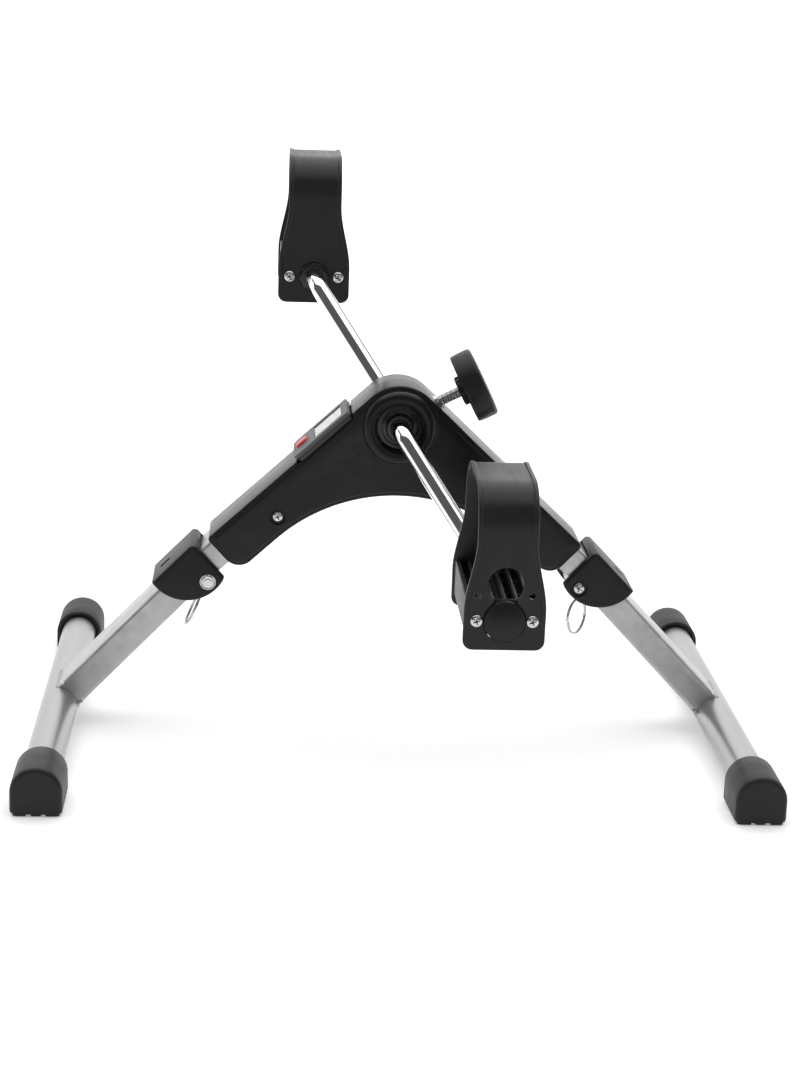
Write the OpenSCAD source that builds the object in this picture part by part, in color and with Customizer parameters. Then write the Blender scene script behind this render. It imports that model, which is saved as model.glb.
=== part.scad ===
// Folding pedal exerciser, in millimetres, standing unfolded on the floor.
// X runs along the line of the legs (+X is the front, with the tension knob), Y along the crank
// axle (-Y is the right side) and Z is up.

/* [Stance] */
// Distance from the centre to each floor bar's axis
bar_x = 235; // [225:1:245]
// Height of the floor bar's axis
bar_z = 16; // [15:0.5:18]
// Length of a floor bar over its caps
bar_length = 380; // [340:5:400]
// Diameter of the floor bar
bar_d = 25.4; // [24:0.1:26]
// Wall of all steel tubes
tube_wall = 1.5; // [1.2:0.1:1.8]

/* [Legs] */
// Distance from the centre to each fold pivot
pivot_x = 131; // [129:0.5:133]
// Height of each fold pivot
pivot_z = 110; // [108:0.5:112]
// Slope of the upper legs below the horizontal
arm_angle = 42.8; // [42:0.1:43.5]
// Height of the rectangular leg tube's section
leg_h = 20; // [19:0.5:21]
// Width of the rectangular leg tube's section
leg_w = 40; // [38:0.5:40]
// Diameter of the pivot bolt
pivot_d = 6; // [5:0.5:6]

/* [Crank] */
// Height of the crank axis
crank_z = 223.5; // [222:0.5:225]
// Diameter of the crank rod
rod_d = 12.7; // [12:0.1:13]
// Throw of the crank
throw = 102.6; // [95:0.5:105]
// Angle of the right arm below +X
crank_angle = 54.6; // [40:1:70]
// Radius of the rod's bends
bend_r = 15; // [14:0.5:18]
// Distance from the centre to the rod's inner bends
inner_bend_y = 36; // [34:1:40]
// Distance from the centre to the rod's outer bends
outer_bend_y = 88; // [84:1:92]

/* [Housing] */
// Radius of the rounded top over the crank
hub_r = 29; // [28:0.5:31]
// Half of the housing's width without its side panels
shell_half_w = 22.5; // [22:0.5:24]
// How far each side panel stands out
panel_rise = 2; // [1:0.5:3]
// Margin between the outline and the side panel's edge
panel_margin = 3; // [2:0.5:4]
// Wall of the shells
shell_wall = 2.2; // [2:0.1:2.4]
// Height of the arch under the crank
arch_top_z = 174.4; // [172:0.5:177]

/* [Pedals] */
// Distance from the centre to a pedal's inner end
pedal_in_y = 103; // [101:1:106]
// Length of a pedal over its strap
pedal_l = 97; // [92:1:100]
// Width of the pedal's body
pedal_w = 49; // [46:1:52]
// Width of the strap's lower end
strap_low_w = 52; // [50:1:54]
// Width of the strap over the foot
strap_top_w = 38; // [34:1:42]
// Height of the strap's top above the pedal axle
strap_top_z = 85; // [80:1:90]
// Depth of the strap's ends below the pedal axle
strap_low_z = 19; // [17:0.5:21]
// Thickness of the strap
strap_t = 2.4; // [2:0.1:3]

/* [Tension knob] */
// Angle of the knob's axis above +X
knob_angle = 27; // [26:0.5:28]
// Diameter of the knob
knob_d = 50; // [44:1:52]
// Distance from the crank axis to the knob's inner face
knob_s = 51; // [48:0.5:54]
// Thickness of the knob
knob_t = 16; // [13:0.5:18]

/* [Hidden] */
$fn = 72;

rear = -1;
front = 1;
right = -1;
left = 1;
eps = 0.01;
run_gap = 0.05;

// ---- leg geometry ----
leg_dx = bar_x - pivot_x;
leg_dz = pivot_z - bar_z;
leg_reach = sqrt(leg_dx * leg_dx + leg_dz * leg_dz);
leg_angle = atan2(leg_dz, leg_dx) + asin(leg_h / 2 / leg_reach);
leg_length = sqrt(leg_reach * leg_reach - leg_h * leg_h / 4);
leg_inner_w = leg_w - 2 * tube_wall;
half_leg = leg_w / 2;
upper_end_u = 0.5;
lower_start = 2;
barrel_r = 6.5;
pivot_r = pivot_d / 2;

// Crank axis seen from a pivot: distance along the arm and height over its lower edge
hub_u = -pivot_x * cos(arm_angle) - (crank_z - pivot_z) * sin(arm_angle);
hub_m = -pivot_x * sin(arm_angle) + (crank_z - pivot_z) * cos(arm_angle);
hub_tube_r = 22;
hub_bore_r = 18.5;
hub_half_l = 20.2;
upper_length = -hub_u - 12;

// ---- lock geometry, in the knuckle's frame ----
lock_u = 14;
lock_r = 2.2;
lock_top_m = 9.7;
lock_eye_m = -7.2;
plate_r = 20.8;
plate_low_m = 10;
plate_half_t = 4;
collar_m = 5.4;
collar_r = 4;
floor_drop = lock_u * sin(leg_angle - arm_angle);
ring_r = 12.6;
ring_wire_r = 0.75;
ring_wire_gap = 0.65;
eye_r = 3;
eye_hole_r = 2.1;
rear_ring_swing = -67.5;
front_ring_swing = -33.2;
front_ring_turn = 45;

// ---- knuckle ----
knuckle_half_w = 24.5;
cheek_in_y = 20.6;
belly_r = 29.3;
belly_u = 0.6;
belly_m = 21.3;
knuckle_u0 = -11;
knuckle_u1 = 31;
knuckle_top = 25.5;
recess_r = 6;
recess_depth = 1.6;

// ---- housing ----
arm_top_m = hub_m + hub_r;
arm_low_m = -9;
arm_end_u = -20;
arm_corner_r = 12;
// Where the two underside lines of the arms meet over the arch
low_line_z = pivot_z + arm_low_m * cos(arm_angle)
    + (pivot_x + arm_low_m * sin(arm_angle)) * tan(arm_angle);
arch_z = (arch_top_z - low_line_z * cos(arm_angle)) / (1 - cos(arm_angle));
arch_r = arch_top_z - arch_z;
shell_cavity_y = shell_half_w - shell_wall;
panel_y = shell_half_w + panel_rise;
boss_r = 21;
boss_bead_r = 4.5;
bush_flange_r = 15.9;
screw_u = -68;
screw_m = 2.7;
screw_r = 2;
screw_head_r = 4.15;
screw_recess_r = 5.7;
screw_recess_depth = 2.2;

// ---- display ----
case_u0 = -154.7;
case_u1 = -103.8;
case_half_w = 23;
flange_m = arm_top_m - 2.4;
case_top_m = arm_top_m + 2;
bezel_top_m = arm_top_m + 3.5;
tray_u0 = -151;
tray_u1 = -108;
tray_half_w = 14.5;
tray_m = 11.5;
tray_wall = 1.5;
window_u0 = -148;
window_u1 = -123.5;
window_half_w = 15.5;
button_u = -112;
button_y = 2;
button_l = 10;
button_w = 12;
button_corner = 3.5;
button_rise = 1.6;
reed_angle = 80;

// ---- brake ----
drum_r = 12;
drum_half_l = 9;
pad_gap = 1.5;
shoe_r = 5;
insert_r = 7;
neck_r = 5.9;
screw_thread_r = 4;
screw_tip_s = drum_r + pad_gap + 6.1;
knob_seat = 9;

// ---- pedals ----
pedal_top = 13.4;
pedal_low = -9.5;
pedal_wall = 3;
axle_end_y = pedal_in_y + pedal_l - 4;
pedal_mid_y = pedal_in_y + pedal_l / 2;
axle_x = throw * cos(crank_angle);
axle_dz = throw * sin(crank_angle);
strap_corner_r = 26;
strap_screw_x = 17.7;
strap_bead = 0.8;
strap_bead_w = 3;
bush_r = 9.3;
cap_r = 13.3;
cap_hole_r = 13.9;

// ================= helpers =================

// Stretches a flat X-Z shape along Y
module along_y(y0, y1) {
    translate([0, y1, 0]) rotate([90, 0, 0]) linear_extrude(y1 - y0) children();
}

// A round bar along Y
module rod_y(r, y0, y1) {
    along_y(y0, y1) circle(r);
}

// A block between two corners
module box(x0, x1, y0, y1, z0, z1) {
    translate([x0, y0, z0]) cube([x1 - x0, y1 - y0, z1 - z0]);
}

// Knuckle's frame: origin on the pivot, X outwards along the arm, Z square to it
module at_pivot(side) {
    mirror([side < 0 ? 1 : 0, 0, 0])
        translate([pivot_x, 0, pivot_z]) rotate([0, arm_angle, 0]) children();
}

// Lower leg's frame: as above, but along the lower leg's own slope
module at_leg(side) {
    mirror([side < 0 ? 1 : 0, 0, 0])
        translate([pivot_x, 0, pivot_z]) rotate([0, leg_angle, 0]) children();
}

// Crank's own frame: X along the right arm, turned to the rest angle
module at_crank() {
    translate([0, 0, crank_z]) rotate([0, crank_angle, 0]) children();
}

// Knob's frame: Z along the knob's axis, away from the crank
module at_knob() {
    translate([0, 0, crank_z]) rotate([0, 90 - knob_angle, 0]) children();
}

// Pedal's frame: origin at the middle of its axle, mirrored so that the outer end is at -Y
module at_pedal(side) {
    translate([-side * axle_x, 0, crank_z + side * axle_dz])
        mirror([0, side > 0 ? 1 : 0, 0]) translate([0, -pedal_mid_y, 0]) children();
}

module pan_head_screw(r, head_r, head_h, length) {
    // Head at the origin, shank along +Z
    translate([0, 0, -head_h]) difference() {
        cylinder(r = head_r, h = head_h);
        for (turn = [0, 90]) rotate([0, 0, turn + 45])
            translate([-head_r * 0.5, -head_r * 0.11, -eps])
                cube([head_r, head_r * 0.22, head_h * 0.6]);
    }
    cylinder(r = r, h = length);
}

// ================= housing =================

module arm_profile(inset) {
    // One arm of the housing in the knuckle's frame, drawn with Z as the second axis
    u0 = hub_u;
    u1 = arm_end_u - inset;
    m0 = arm_low_m + inset;
    m1 = arm_top_m - inset;
    r = arm_corner_r - inset;
    translate([u0, m0 + r]) square([u1 - u0, m1 - m0 - r]);
    translate([u0, m0]) square([u1 - r - u0, r + eps]);
    translate([u1 - r, m0 + r]) circle(r);
}

module housing_profile(inset) {
    translate([0, crank_z]) circle(hub_r - inset);
    for (side = [0, 1]) mirror([side, 0])
        translate([pivot_x, pivot_z]) rotate(-arm_angle) arm_profile(inset);
    difference() {
        translate([0, 0]) polygon([
            [-arch_r * sin(arm_angle), arch_z + arch_r * cos(arm_angle)],
            [0, low_line_z + hub_r / 2],
            [arch_r * sin(arm_angle), arch_z + arch_r * cos(arm_angle)]
        ]);
        translate([0, arch_z]) circle(arch_r + inset, $fn = 180);
    }
}

module housing_shell(side) {
    y0 = side < 0 ? -shell_half_w : 0;
    y1 = side < 0 ? 0 : shell_half_w;
    p0 = side < 0 ? -panel_y : shell_half_w - eps;
    p1 = side < 0 ? -shell_half_w + eps : panel_y;
    c0 = side < 0 ? -shell_cavity_y : -1;
    c1 = side < 0 ? 1 : shell_cavity_y;
    difference() {
        union() {
            along_y(y0, y1) housing_profile(0);
            along_y(p0, p1) housing_profile(panel_margin);
            translate([0, side * panel_y, crank_z]) rotate([side * -90, 0, 0])
                rotate_extrude() translate([boss_r, 0]) intersection() {
                    circle(boss_bead_r, $fn = 48);
                    translate([-boss_bead_r, -0.6]) square([2 * boss_bead_r, boss_bead_r + 1]);
                }
        }
        along_y(c0, c1) housing_profile(shell_wall);
        // Hole for the bush
        translate([0, 0, crank_z]) rod_y(bush_flange_r + 0.3, -40, 40);
        translate([0, 0, crank_z]) rod_y(hub_tube_r + 0.4, -shell_cavity_y, shell_cavity_y);
        // Mouths for the upper legs
        for (end = [rear, front]) at_pivot(end)
            box(arm_end_u - 16, arm_end_u + 5, -half_leg - 0.15, half_leg + 0.15, -0.3, leg_h + 0.3);
        // Seat for the display
        at_pivot(rear) box(case_u0 - 0.3, case_u1 + 0.3, -30, 30, flange_m - 0.05, 40);
        // Neck of the tension insert
        at_knob() translate([0, 0, 24]) cylinder(r = neck_r + 0.3, h = 15);
        at_pivot(front) box(-160, -152, 17, 18.4, arm_top_m - 4, arm_top_m + 1);
        // Screw holes, with the head's recess on the right side
        for (end = [rear, front]) at_pivot(end) translate([screw_u, 0, screw_m]) {
            rod_y(screw_r, -40, panel_y - 1.5);
            rod_y(screw_recess_r, -panel_y - 1, -panel_y + screw_recess_depth);
        }
    }
    // Stiffening ribs in the web under the crank
    for (x = [-26, 26]) difference() {
        along_y(side < 0 ? -shell_cavity_y - 1 : 1, side < 0 ? -1 : shell_cavity_y + 1)
            intersection() {
                housing_profile(shell_wall - 1);
                translate([x - 1, arch_top_z - 10]) square([2, 34]);
            }
        translate([0, 0, crank_z]) rod_y(hub_tube_r + 0.4, -30, 30);
        for (end = [rear, front]) at_pivot(end)
            box(hub_u, 0, -30, 30, -0.3, leg_h + 5);
    }
}

module housing_screws() {
    head_y = -panel_y + screw_recess_depth;
    color([0.8, 0.8, 0.82]) for (end = [rear, front])
        at_pivot(end) translate([screw_u, head_y, screw_m]) rotate([-90, 0, 0])
            pan_head_screw(screw_r, screw_head_r, 1.8, 2 * panel_y - screw_recess_depth - 2);
}

// ================= frame =================

module rect_tube(x0, x1) {
    difference() {
        box(x0, x1, -half_leg, half_leg, 0, leg_h);
        box(x0 - 1, x1 + 1, -leg_inner_w / 2, leg_inner_w / 2, tube_wall, leg_h - tube_wall);
    }
}

module upper_leg(side) {
    color([0.72, 0.72, 0.73]) difference() {
        union() {
            at_pivot(side) {
                rect_tube(upper_end_u - upper_length, upper_end_u);
                rod_y(barrel_r, -half_leg, half_leg);
                box(upper_end_u - 1.5, upper_end_u, -half_leg, half_leg, 0, leg_h);
                // Latch plate that the lock pin enters
                difference() {
                    intersection() {
                        rod_y(plate_r, -plate_half_t, plate_half_t);
                        box(upper_end_u - eps, plate_r, -9, 9, plate_low_m, plate_r);
                    }
                    translate([lock_u, 0, 0]) cylinder(r = lock_r + 0.3, h = 30);
                }
            }
        }
        // Saddle for the hub tube
        translate([0, 0, crank_z]) rod_y(hub_tube_r, -30, 30);
        at_pivot(side) {
            rod_y(pivot_r + run_gap, -30, 30);
            translate([screw_u, 0, screw_m]) rod_y(screw_r + 0.5, -30, 30);
            if (side < 0) box(tray_u0 - 1, tray_u1 + 1, -tray_half_w - 1, tray_half_w + 1, 12, 30);
        }
        if (side > 0) at_knob() cylinder(r = insert_r + 1.5, h = 40);
    }
}

module hub_tube() {
    color([0.6, 0.6, 0.62]) difference() {
        translate([0, 0, crank_z]) difference() {
            rod_y(hub_tube_r, -hub_half_l, hub_half_l);
            rod_y(hub_bore_r, -30, 30);
        }
        at_knob() cylinder(r = insert_r, h = 40);
        // Window that lets the reed switch see the magnet
        translate([0, 0, crank_z]) rotate([0, -reed_angle, 0])
            box(-4, 4, -7, 7, 0, 30);
    }
}

module crank_bush(side) {
    color([0.1, 0.1, 0.1]) translate([0, 0, crank_z])
        mirror([0, side > 0 ? 1 : 0, 0]) difference() {
            union() {
                rod_y(hub_bore_r, -hub_half_l, -10.5);
                rod_y(bush_flange_r, -22.6, -hub_half_l + eps);
                rod_y(12.5, -24, -22.6 + eps);
                rod_y(9.3, -27, -24 + eps);
            }
            rod_y(rod_d / 2 + run_gap, -40, 0);
        }
}

// ================= crank =================

crank_slant = atan2(throw, outer_bend_y - inner_bend_y);
bend_cut = bend_r * tan(crank_slant / 2);
arm_run = sqrt(pow(throw, 2) + pow(outer_bend_y - inner_bend_y, 2)) - 2 * bend_cut;

module rod_bend(angle) {
    // A bend that starts at the origin along -Y and turns towards +X
    translate([bend_r, 0, 0]) rotate([0, 0, 180]) rotate_extrude(angle = angle)
        translate([bend_r, 0]) circle(rod_d / 2, $fn = 48);
}

module crank_half() {
    // From the middle of the hub out to the right pedal's axle end
    rod_y(rod_d / 2, -inner_bend_y + bend_cut, 0);
    translate([0, -inner_bend_y + bend_cut, 0]) rod_bend(crank_slant);
    translate([0, -inner_bend_y, 0]) rotate([0, 0, crank_slant])
        rod_y(rod_d / 2, -bend_cut - arm_run, -bend_cut);
    translate([throw, -outer_bend_y - bend_cut, 0]) mirror([1, 0, 0]) mirror([0, 1, 0])
        rod_bend(crank_slant);
    translate([throw, 0, 0]) difference() {
        rod_y(rod_d / 2, -axle_end_y, -outer_bend_y - bend_cut);
        // Groove for the retaining clip
        difference() {
            rod_y(rod_d, -axle_end_y + 2, -axle_end_y + 3.2);
            rod_y(rod_d / 2 - 1, -axle_end_y, -axle_end_y + 5);
        }
    }
}

module crank_rod() {
    color([0.85, 0.85, 0.87]) at_crank() {
        crank_half();
        rotate([0, 0, 180]) crank_half();
    }
}

module brake_drum() {
    color([0.5, 0.5, 0.52]) at_crank() difference() {
        rod_y(drum_r, -drum_half_l, drum_half_l);
        rod_y(rod_d / 2, -20, 20);
        translate([-drum_r, 0, 0]) rotate([0, 90, 0]) cylinder(r = 2.5, h = 3);
    }
}

module sensor_magnet() {
    color([0.7, 0.7, 0.7]) at_crank() intersection() {
        translate([-drum_r, 0, 0]) rotate([0, 90, 0]) cylinder(r = 2.5, h = 3);
        rod_y(drum_r - 0.1, -9, 9);
    }
}

// ================= brake =================

module tension_insert() {
    color([0.75, 0.62, 0.3]) at_knob() difference() {
        union() {
            translate([0, 0, 17.5]) cylinder(r = insert_r, h = 8.5);
            translate([0, 0, 26 - eps]) cylinder(r = neck_r, h = 5.5);
        }
        translate([0, 0, 17]) cylinder(r = shoe_r + run_gap, h = 7);
        cylinder(r = screw_thread_r + run_gap, h = 40);
    }
}

module brake_shoe() {
    color([0.7, 0.7, 0.7]) at_knob() difference() {
        translate([0, 0, drum_r + pad_gap + 2]) cylinder(r = shoe_r, h = 5.5);
        translate([0, 0, drum_r + pad_gap + 6]) cylinder(r = 2.6, h = 4);
    }
}

module brake_pad() {
    color([0.25, 0.2, 0.15]) difference() {
        at_knob() translate([0, 0, drum_r]) cylinder(r = shoe_r - 0.4, h = pad_gap + 2);
        translate([0, 0, crank_z]) rod_y(drum_r + pad_gap, -20, 20);
    }
}

module tension_screw() {
    color([0.75, 0.75, 0.76]) at_knob() {
        translate([0, 0, screw_tip_s]) cylinder(r = 2.5, h = 2);
        translate([0, 0, screw_tip_s + 1.6])
            cylinder(r = screw_thread_r, h = knob_s + knob_seat - screw_tip_s - 1.6);
    }
}

module tension_knob() {
    r = knob_d / 2;
    rounding = 3.5;
    color([0.1, 0.1, 0.1]) at_knob() difference() {
        union() {
            translate([0, 0, knob_s - 3.6]) cylinder(r = 10, h = 4);
            translate([0, 0, knob_s]) cylinder(r = r - 0.4, h = 2 + eps);
            translate([0, 0, knob_s + 2]) cylinder(r = r, h = knob_t - rounding - 2);
            translate([0, 0, knob_s + knob_t - rounding]) rotate_extrude()
                translate([r - rounding, 0]) intersection() {
                    circle(rounding, $fn = 48);
                    square(rounding);
                }
            translate([0, 0, knob_s + knob_t - rounding - eps])
                cylinder(r = r - rounding, h = rounding + eps);
        }
        translate([0, 0, knob_s - 5]) cylinder(r = screw_thread_r, h = knob_seat + 5);
        // Shallow dish round the collar
        translate([0, 0, knob_s - eps]) difference() {
            cylinder(r = r - 3, h = 2.5);
            translate([0, 0, -1]) cylinder(r = 12, h = 5);
        }
    }
}

// ================= display =================

module rounded_block(u, y, l, w, r, m0, m1) {
    translate([u, y, m0]) {
        for (x = [-1, 1], z = [-1, 1])
            translate([x * (l / 2 - r), z * (w / 2 - r), 0]) cylinder(r = r, h = m1 - m0);
        translate([-l / 2 + r, -w / 2, 0]) cube([l - 2 * r, w, m1 - m0]);
        translate([-l / 2, -w / 2 + r, 0]) cube([l, w - 2 * r, m1 - m0]);
    }
}

module button_hole(m0) {
    rounded_block(button_u, button_y, button_l + 0.8, button_w + 0.8, button_corner + 0.4, m0, 40);
}

module display_case() {
    color([0.08, 0.08, 0.08]) at_pivot(rear) difference() {
        union() {
            box(case_u0, case_u1, -case_half_w, case_half_w, flange_m, case_top_m);
            box(tray_u0, tray_u1, -tray_half_w, tray_half_w, tray_m, flange_m + eps);
        }
        box(tray_u0 + tray_wall, tray_u1 - tray_wall, -tray_half_w + tray_wall,
            tray_half_w - tray_wall, tray_m + tray_wall, case_top_m + 1);
        box(window_u0 - 1.5, window_u1 + 1.5, -window_half_w - 1, window_half_w + 1,
            flange_m + 1.4, case_top_m + 1);
        button_hole(case_top_m - 2.4);
        // Passage for the sensor wire
        translate([tray_u0 - 1, 0, 15]) rotate([0, 90, 0]) cylinder(r = 1, h = 4);
    }
}

module display_bezel() {
    color([0.65, 0.65, 0.66]) at_pivot(rear) difference() {
        box(case_u0 + 0.3, case_u1 - 0.3, -case_half_w + 0.3, case_half_w - 0.3,
            case_top_m, bezel_top_m);
        box(window_u0, window_u1, -window_half_w, window_half_w, 0, 40);
        button_hole(0);
    }
}

module display_window() {
    color([0.8, 0.85, 0.85, 0.4]) at_pivot(rear)
        box(window_u0 + 0.1, window_u1 - 0.1, -window_half_w + 0.1, window_half_w - 0.1,
            case_top_m - 0.2, bezel_top_m - 0.5);
}

module lcd_panel() {
    color([0.7, 0.75, 0.7]) at_pivot(rear)
        box(window_u0 - 1, window_u1 + 1, -window_half_w - 0.5, window_half_w + 0.5,
            case_top_m - 2.4, case_top_m - 0.3);
}

module circuit_board() {
    color([0.1, 0.35, 0.15]) at_pivot(rear) difference() {
        box(tray_u0 + 2, tray_u1 - 2, -12.7, 12.7, 18.6, 20);
        translate([tray_u0 + 4, 8, 0]) cylinder(r = 1, h = 40);
    }
}

module coin_cell() {
    color([0.75, 0.75, 0.75]) at_pivot(rear)
        translate([-129, 0, 14.2]) cylinder(r = 10, h = 3.2);
}

module battery_clip() {
    color([0.8, 0.75, 0.5]) at_pivot(rear) {
        box(-143, -115, -3, 3, 17.6, 18.2);
        for (u = [-143, -115.6]) box(u, u + 0.6, -3, 3, 13.2, 18.2);
    }
}

module reset_button() {
    color([0.78, 0.16, 0.12]) at_pivot(rear) {
        rounded_block(button_u, button_y, button_l, button_w, button_corner,
            case_top_m - 0.6, bezel_top_m + button_rise);
        translate([button_u, button_y, 22.2]) cylinder(r = 2, h = case_top_m - 22.8 + eps);
    }
}

module button_dome() {
    color([0.3, 0.3, 0.3]) at_pivot(rear)
        translate([button_u, button_y, 20]) cylinder(r = 2.2, h = 1);
}

module reed_switch() {
    color([0.5, 0.6, 0.5]) at_pivot(rear) translate([-157.5, 0, 15]) rod_y(1.8, -6, 6);
}

module sensor_wire() {
    color([0.15, 0.15, 0.15]) at_pivot(rear)
        translate([-155.7, 0, 15]) rotate([0, 90, 0]) cylinder(r = 0.8, h = 8);
}

// ================= lower legs =================

module lower_leg(side) {
    color([0.72, 0.72, 0.73]) difference() {
        union() {
            at_leg(side) rect_tube(lower_start, leg_length);
            // Steel tab that locates the knuckle
            at_pivot(side) box(15, 21, -1.8, 1.8, leg_h - 2.6, knuckle_top - 1);
        }
        at_pivot(side) {
            rod_y(barrel_r + 0.7, -30, 30);
            // Room for the latch plate as the leg swings
            rod_y(plate_r + 0.5, -plate_half_t - 0.7, plate_half_t + 0.7);
            translate([lock_u, 0, -8]) cylinder(r = lock_r + 0.3, h = 12);
        }
        translate([side * bar_x, 0, bar_z]) rod_y(bar_d / 2, -30, 30);
    }
}

module floor_bar(side) {
    end_y = bar_length / 2 - 3.5;
    color([0.72, 0.72, 0.73]) translate([side * bar_x, 0, bar_z]) difference() {
        rod_y(bar_d / 2, -end_y, end_y);
        rod_y(bar_d / 2 - tube_wall, -end_y - 1, end_y + 1);
    }
}

foot_r = 17;
foot_l = 42;
foot_tread = 1.2;

module foot_profile() {
    translate([0, bar_z]) circle(foot_r);
    translate([-foot_r, foot_tread]) square([2 * foot_r, bar_z - foot_tread]);
    for (x = [-foot_r + 1.5, -3.5, foot_r - 8.5]) translate([x, 0]) square([7, foot_tread + eps]);
}

module foot_cap(side, end) {
    outer_y = bar_length / 2;
    color([0.1, 0.1, 0.1]) mirror([0, end > 0 ? 1 : 0, 0]) difference() {
        translate([side * bar_x, 0, 0]) along_y(-outer_y, -outer_y + foot_l) foot_profile();
        translate([side * bar_x, 0, bar_z]) {
            rod_y(bar_d / 2, -outer_y + 3.5, 0);
            rod_y(bar_d / 2 + 1.7, -outer_y + foot_l - 3, 0);
        }
        // The round top stands on straight sides, so nothing reaches under the floor
        box(-400, 400, -400, 400, -50, 0);
    }
}

// ================= knuckles and locks =================

module knuckle_profile() {
    intersection() {
        translate([belly_u, belly_m]) circle(belly_r, $fn = 120);
        translate([knuckle_u0, -12]) square([knuckle_u1 - knuckle_u0, knuckle_top + 12]);
    }
}

module knuckle(side) {
    color([0.1, 0.1, 0.1]) difference() {
        at_pivot(side) difference() {
            union() {
                along_y(-knuckle_half_w, knuckle_half_w) knuckle_profile();
                // Raised lip over the mouth
                translate([knuckle_u0 + 2.6, 0, knuckle_top - 0.6]) rod_y(2.6, -22, 22);
            }
            // Room between the cheeks for the upper leg as it swings
            box(-30, 2.2, -cheek_in_y, cheek_in_y, -20, leg_h + 1.3);
            box(-30, 9.5, -cheek_in_y, cheek_in_y, -20, 0.5);
            // Pocket that takes the pin's eye and ring
            box(8, 19.5, -14, 14, -20, 0.5);
            rod_y(plate_r + 0.5, -plate_half_t - 0.8, plate_half_t + 0.8);
            rod_y(barrel_r + 1, -cheek_in_y, cheek_in_y);
            // Pivot bolt with a recess on both sides
            rod_y(pivot_r, -40, 40);
            rod_y(recess_r, -40, -knuckle_half_w + recess_depth);
            rod_y(recess_r, knuckle_half_w - recess_depth, 40);
            // Slot over the locating tab
            box(13.5, 22.5, -2.5, 2.5, 19, 40);
        }
        // The lower leg fills the rest
        at_leg(side) box(lower_start - 1, 200, -half_leg, half_leg, 0, leg_h);
    }
}

module pivot_bolt(side) {
    // The head is on the right of the front leg and on the left of the rear leg
    head_y = -knuckle_half_w + recess_depth;
    color([0.8, 0.8, 0.82]) at_pivot(side) mirror([0, side < 0 ? 1 : 0, 0])
        translate([0, head_y, 0]) rotate([-90, 0, 0])
            pan_head_screw(pivot_r, 4.2, 2, 2 * knuckle_half_w - 2 * recess_depth + 2.4);
}

module pivot_nut(side) {
    seat_y = knuckle_half_w - recess_depth;
    color([0.85, 0.85, 0.85]) at_pivot(side) mirror([0, side < 0 ? 1 : 0, 0]) difference() {
        union() {
            rod_y(5.4, seat_y, seat_y + 1);
            rod_y(4.4, seat_y + 1 - eps, seat_y + 2.8);
        }
        rod_y(pivot_r, 0, 40);
    }
}

// The front pin and its ring are turned in the hole; each ring then leans about its own tangent
function ring_turn(side) = side < 0 ? 90 : front_ring_turn;
function ring_swing(side) = side < 0 ? rear_ring_swing : front_ring_swing;

module lock_pin(side) {
    color([0.75, 0.75, 0.76]) at_pivot(side) translate([lock_u, 0, 0]) {
        translate([0, 0, lock_eye_m + 2.9]) cylinder(r = lock_r, h = lock_top_m - lock_eye_m - 2.9);
        translate([0, 0, collar_m]) cylinder(r = collar_r, h = 1.4);
        // Eye for the ring
        translate([0, 0, lock_eye_m]) rotate([0, 0, ring_turn(side)]) rotate([0, 90, 0]) difference() {
            translate([0, 0, -1.4]) cylinder(r = eye_r, h = 2.8);
            translate([0, 0, -5]) cylinder(r = eye_hole_r, h = 10);
        }
    }
}

module lock_spring(side) {
    wire = 0.28;
    low = tube_wall - floor_drop + 0.5;
    turns = 3;
    pitch = (collar_m - 0.35 - low - wire) / turns;
    color([0.7, 0.7, 0.7]) at_pivot(side) translate([lock_u, 0, low + wire])
        for (i = [0 : turns]) translate([0, 0, i * pitch])
            rotate_extrude() translate([lock_r + 0.9, 0]) circle(wire, $fn = 24);
}

module pull_ring(side) {
    color([0.8, 0.8, 0.8]) at_pivot(side) translate([lock_u, 0, lock_eye_m])
        rotate([0, 0, ring_turn(side)]) rotate([ring_swing(side), 0, 0]) translate([0, 0, -ring_r])
            rotate([90, 0, 0]) rotate_extrude($fn = 96) {
                translate([ring_r, ring_wire_gap]) circle(ring_wire_r, $fn = 24);
                translate([ring_r, -ring_wire_gap]) circle(ring_wire_r, $fn = 24);
            }
}

// ================= pedals =================

module pedal(side) {
    half_w = pedal_w / 2;
    half_l = pedal_l / 2 - strap_t;
    bore_r = rod_d / 2 + 0.08;
    ribs = 5;
    color([0.1, 0.1, 0.1]) at_pedal(side) difference() {
        union() {
            difference() {
                box(-half_w, half_w, -half_l, half_l, pedal_low, pedal_top);
                box(-half_w + pedal_wall, half_w - pedal_wall, -half_l + pedal_wall,
                    half_l - pedal_wall, pedal_low - 1, pedal_top + 1);
            }
            rod_y(11, -half_l, half_l);
            // Tread ribs along the pedal
            for (i = [0 : ribs - 1]) {
                x = (i - (ribs - 1) / 2) * (pedal_w - pedal_wall) / (ribs + 1);
                box(x - 1.2, x + 1.2, -half_l + 1, half_l - 1, 0, pedal_top);
            }
            // Cross webs
            for (y = [-15, 15]) box(-half_w + 1, half_w - 1, y - 1.2, y + 1.2, pedal_low + 3, 8);
            // Screw posts
            for (x = [-1, 1], y = [-1, 1])
                translate([x * strap_screw_x, 0, 0])
                    rod_y(4.5, y < 0 ? -half_l : half_l - 14, y < 0 ? -half_l + 14 : half_l);
        }
        rod_y(bore_r, -100, 100);
        rod_y(bush_r, half_l - 16, 100);
        // Chamber for the clip at the outer end
        rod_y(10, -100, -half_l + 5.6);
        for (x = [-1, 1]) translate([x * strap_screw_x, 0, 0]) {
            rod_y(1.6, -100, -half_l + 12);
            rod_y(1.6, half_l - 12, 100);
        }
    }
}

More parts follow.
